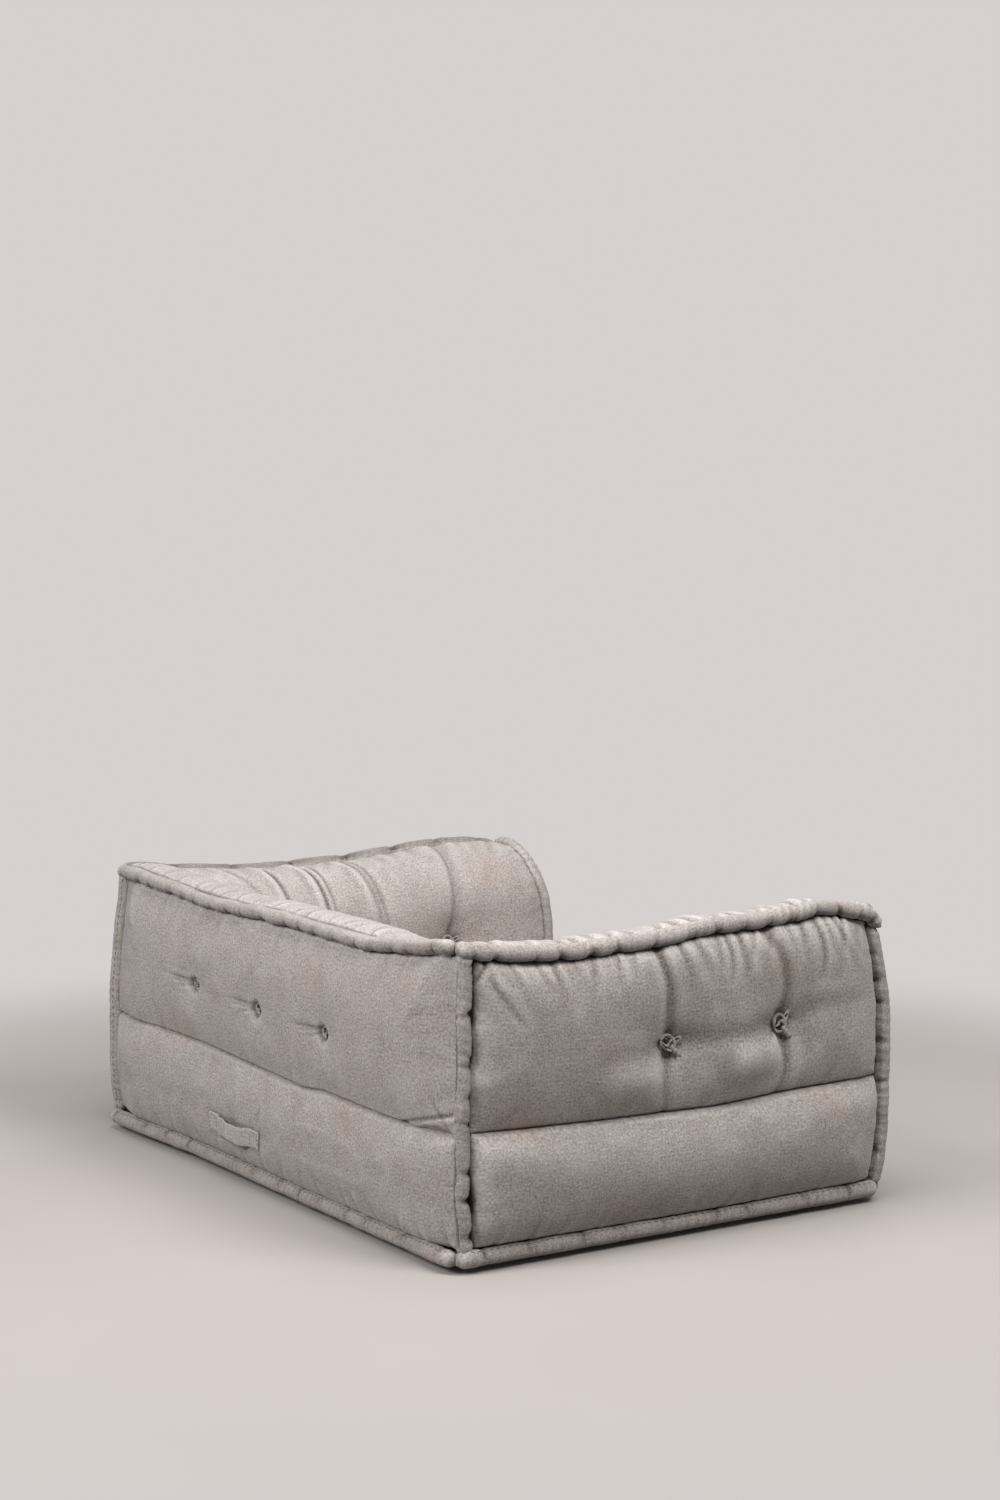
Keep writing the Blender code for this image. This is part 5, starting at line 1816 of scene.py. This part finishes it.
def make_camera():
    """The camera at the photograph's view."""
    lens = bpy.data.cameras.new("photo_camera")
    lens.lens = CAMERA_LENS
    lens.sensor_width = CAMERA_SENSOR
    lens.sensor_fit = "AUTO"
    holder = new_object("photo_camera", lens)
    holder.location = CAMERA_PLACE
    holder.rotation_euler = Vector(CAMERA_FORWARD).to_track_quat("-Z", "Y").to_euler()
    bpy.context.scene.camera = holder


# Sizes and colours that a user would change

class SofaSizes(bpy.types.PropertyGroup):
    """Sizes of the cloth and its swelling."""
    cell: bpy.props.FloatProperty(
        name="Cloth cell", description="Step of the cloth grids before they are made finer",
        default=0.009, min=0.004, max=0.03, unit="LENGTH")
    slack: bpy.props.FloatProperty(
        name="Slack", description="How much longer the cloth is cut than its seam",
        default=0.035, min=0.0, max=0.2, subtype="FACTOR")
    pressure: bpy.props.FloatProperty(
        name="Stuffing pressure", description="How hard the stuffing pushes the cloth out",
        default=2.0, min=0.0)
    stiffness: bpy.props.FloatProperty(
        name="Cloth stiffness", description="How hard the cloth is to bend", default=0.6, min=0.0)
    frames: bpy.props.IntProperty(
        name="Swelling steps", description="Frames that the cloth is let swell for", default=22, min=1)
    stitch_pitch: bpy.props.FloatProperty(
        name="Stitch pitch", description="From one stitch to the next",
        default=0.014, min=0.004, unit="LENGTH")
    stitch_length: bpy.props.FloatProperty(
        name="Stitch length", description="Length of thread that shows in a stitch", default=0.008, min=0.001,
        unit="LENGTH")
    stitch_radius: bpy.props.FloatProperty(
        name="Thread radius", description="Radius of the stitching thread", default=0.0009, min=0.0001,
        unit="LENGTH")
    most_swell: bpy.props.FloatProperty(
        name="Most swell", description="Furthest that a point of the cloth may move as it swells",
        default=0.014, min=0.0, unit="LENGTH")


def tint(name, description, hex_text):
    """A colour that a user can change."""
    return bpy.props.FloatVectorProperty(name=name, description=description, subtype="COLOR",
                                         default=colour(hex_text))


class SofaColours(bpy.types.PropertyGroup):
    """Colours of the cloths, threads and stage."""
    linen: tint("Linen", "Linen in even light", "#ABA29D")
    # ridges: paler from wear, with a painted highlight; valleys: painted shade
    linen_light: tint("Linen ridges", "Linen where folds are rubbed", "#CFC8C4")
    linen_deep: tint("Linen valleys", "Linen deep in its folds", "#6E645C")
    stain: tint("Stains", "Tint of the faint warm patches in the linen", "#F2DFCB")
    # painted shade: the near-black that the shade attribute mixes in where little light reaches
    crevice: tint("Seam depths", "Linen where a seam swallows the light", "#2B2420")
    roll: tint("Rolls", "Linen drawn round the rolls", "#ABA29D")
    # painted shade: a little darker than the panels' linen, for the shade of the dimple that a rosette sits
    # in
    rosette: tint("Rosettes", "Twisted scraps of linen", "#A89E96")
    # painted shade: the thread is darker than the linen to stand in for the shadows of the stitches
    thread: tint("Thread", "Stitching thread", "#6B6058")
    twine: tint("Twine", "Waxed tufting twine", "#B6AA98")
    foam: tint("Foam", "Upholstery foam", "#E6DCC4")
    underside: tint("Underside", "Cotton under the base", "#8C847D")
    floor: tint("Floor", "Floor of the stage", "#BEB6B2")
    backdrop: tint("Backdrop", "Pale tone behind the sofa", "#D6D0CF")


# Operators, one for each group of like pieces

class SOFA_OT_outer_panels(bpy.types.Operator):
    """Sew the padded outer panels of the back and the arms"""
    bl_idname = "sofa.outer_panels"
    bl_label = "Outer Panels"

    def execute(self, context):
        panels = [outer_panel(number, side) for number, side in enumerate(WALLS)]
        make_panels(panels, context.scene.sofa_sizes, washed_linen(context.scene.sofa_colours))
        return {"FINISHED"}


class SOFA_OT_base_bands(bpy.types.Operator):
    """Sew the padded bands round the base"""
    bl_idname = "sofa.base_bands"
    bl_label = "Base Bands"

    def execute(self, context):
        panels = [base_band(number, side) for number, side in enumerate(SIDES)]
        make_panels(panels, context.scene.sofa_sizes, washed_linen(context.scene.sofa_colours))
        return {"FINISHED"}


class SOFA_OT_inner_panels(bpy.types.Operator):
    """Sew the padded insides of the walls and the seat"""
    bl_idname = "sofa.inner_panels"
    bl_label = "Inner Panels and Seat"

    def execute(self, context):
        panels = [inner_panel(number, side) for number, side in enumerate(WALLS)]
        panels += [end_panel(number, side) for number, side in enumerate(ARMS)]
        panels.append(seat_panel())
        make_panels(panels, context.scene.sofa_sizes, washed_linen(context.scene.sofa_colours))
        return {"FINISHED"}


class SOFA_OT_underside(bpy.types.Operator):
    """Sew the padded cloth under the base"""
    bl_idname = "sofa.underside"
    bl_label = "Underside"

    def execute(self, context):
        make_panels([underside_panel()], context.scene.sofa_sizes, plain_cotton(context.scene.sofa_colours))
        return {"FINISHED"}


class SOFA_OT_rolled_edges(bpy.types.Operator):
    """Stuff the rolled edges"""
    bl_idname = "sofa.rolled_edges"
    bl_label = "Rolled Edges"

    def execute(self, context):
        colours = context.scene.sofa_colours
        material = roll_linen(colours)
        thread = stitching_thread(colours)
        for roll in all_rolls():
            make_roll(roll, material, thread, context.scene.sofa_sizes)
        return {"FINISHED"}


class SOFA_OT_rosettes(bpy.types.Operator):
    """Twist and tie the rosettes of the tufts"""
    bl_idname = "sofa.rosettes"
    bl_label = "Rosettes"

    def execute(self, context):
        material = rosette_linen(context.scene.sofa_colours)
        seed = 800
        for side in WALLS:
            for kind, sign in (("outer", -1), ("inner", 1)):
                normal = (sign * side.inward[0], sign * side.inward[1], 0.0)
                size = 0.9 if side is BACK else 1.15
                for name in nodes_named(f"{kind}_rosette_{side.name}_"):
                    make_rosette(name, normal, size, seed, material)
                    seed += 1
        for name in nodes_named("seat_rosette_"):
            make_rosette(name, (0.0, 0.0, 1.0), 1.0, seed, material)
            seed += 1
        return {"FINISHED"}


class SOFA_OT_twines(bpy.types.Operator):
    """Twist the twines that tie the rosettes"""
    bl_idname = "sofa.twines"
    bl_label = "Twines"

    def execute(self, context):
        colours = context.scene.sofa_colours
        material = waxed_thread("waxed_linen_twine", [0.6 * c for c in colours.twine], colours.twine, 0.012)
        for name in nodes_named("twine_"):
            make_twine(name, material)
        return {"FINISHED"}


class SOFA_OT_foam_cores(bpy.types.Operator):
    """Cut the foam cores and ease their edges"""
    bl_idname = "sofa.foam_cores"
    bl_label = "Foam Cores"

    def execute(self, context):
        material = upholstery_foam(context.scene.sofa_colours)
        for name in ("seat_core", "back_core", "right_arm_core", "left_arm_core"):
            make_foam(name, material)
        return {"FINISHED"}


class SOFA_OT_strap(bpy.types.Operator):
    """Sew the carrying strap to the back of the base"""
    bl_idname = "sofa.strap"
    bl_label = "Carrying Strap"

    def execute(self, context):
        colours = context.scene.sofa_colours
        make_strap(strap_linen(colours), stitching_thread(colours), context.scene.sofa_sizes)
        return {"FINISHED"}


class SOFA_OT_stage(bpy.types.Operator):
    """Set the floor, the lights and the camera"""
    bl_idname = "sofa.stage"
    bl_label = "Stage"

    def execute(self, context):
        make_stage(context.scene.sofa_colours)
        make_lights(context.scene.sofa_colours)
        make_camera()
        return {"FINISHED"}


class SOFA_PT_dresser(bpy.types.Panel):
    """The dresser's buttons and settings"""
    bl_idname = "SOFA_PT_dresser"
    bl_label = "Floor Sofa"
    bl_space_type = "VIEW_3D"
    bl_region_type = "UI"
    bl_category = "Floor Sofa"

    def draw(self, context):
        layout = self.layout
        for operator in OPERATORS:
            layout.operator(operator.bl_idname)
        for settings in (context.scene.sofa_sizes, context.scene.sofa_colours):
            for name in settings.__annotations__:
                layout.prop(settings, name)


OPERATORS = (SOFA_OT_foam_cores, SOFA_OT_outer_panels, SOFA_OT_base_bands, SOFA_OT_inner_panels,
             SOFA_OT_underside, SOFA_OT_rolled_edges, SOFA_OT_rosettes, SOFA_OT_twines, SOFA_OT_strap,
             SOFA_OT_stage)
CLASSES = (SofaSizes, SofaColours, *OPERATORS, SOFA_PT_dresser)


def register():
    """Registers the dresser's classes and settings."""
    for item in CLASSES:
        bpy.utils.register_class(item)
    bpy.types.Scene.sofa_sizes = bpy.props.PointerProperty(type=SofaSizes)
    bpy.types.Scene.sofa_colours = bpy.props.PointerProperty(type=SofaColours)


def unregister():
    """Takes the classes and settings out again."""
    del bpy.types.Scene.sofa_colours
    del bpy.types.Scene.sofa_sizes
    for item in reversed(CLASSES):
        bpy.utils.unregister_class(item)


def main():
    """Dresses the sofa."""
    register()
    for operator in OPERATORS:
        group, name = operator.bl_idname.split(".")
        getattr(getattr(bpy.ops, group), name)()


if __name__ == "__main__":
    main()
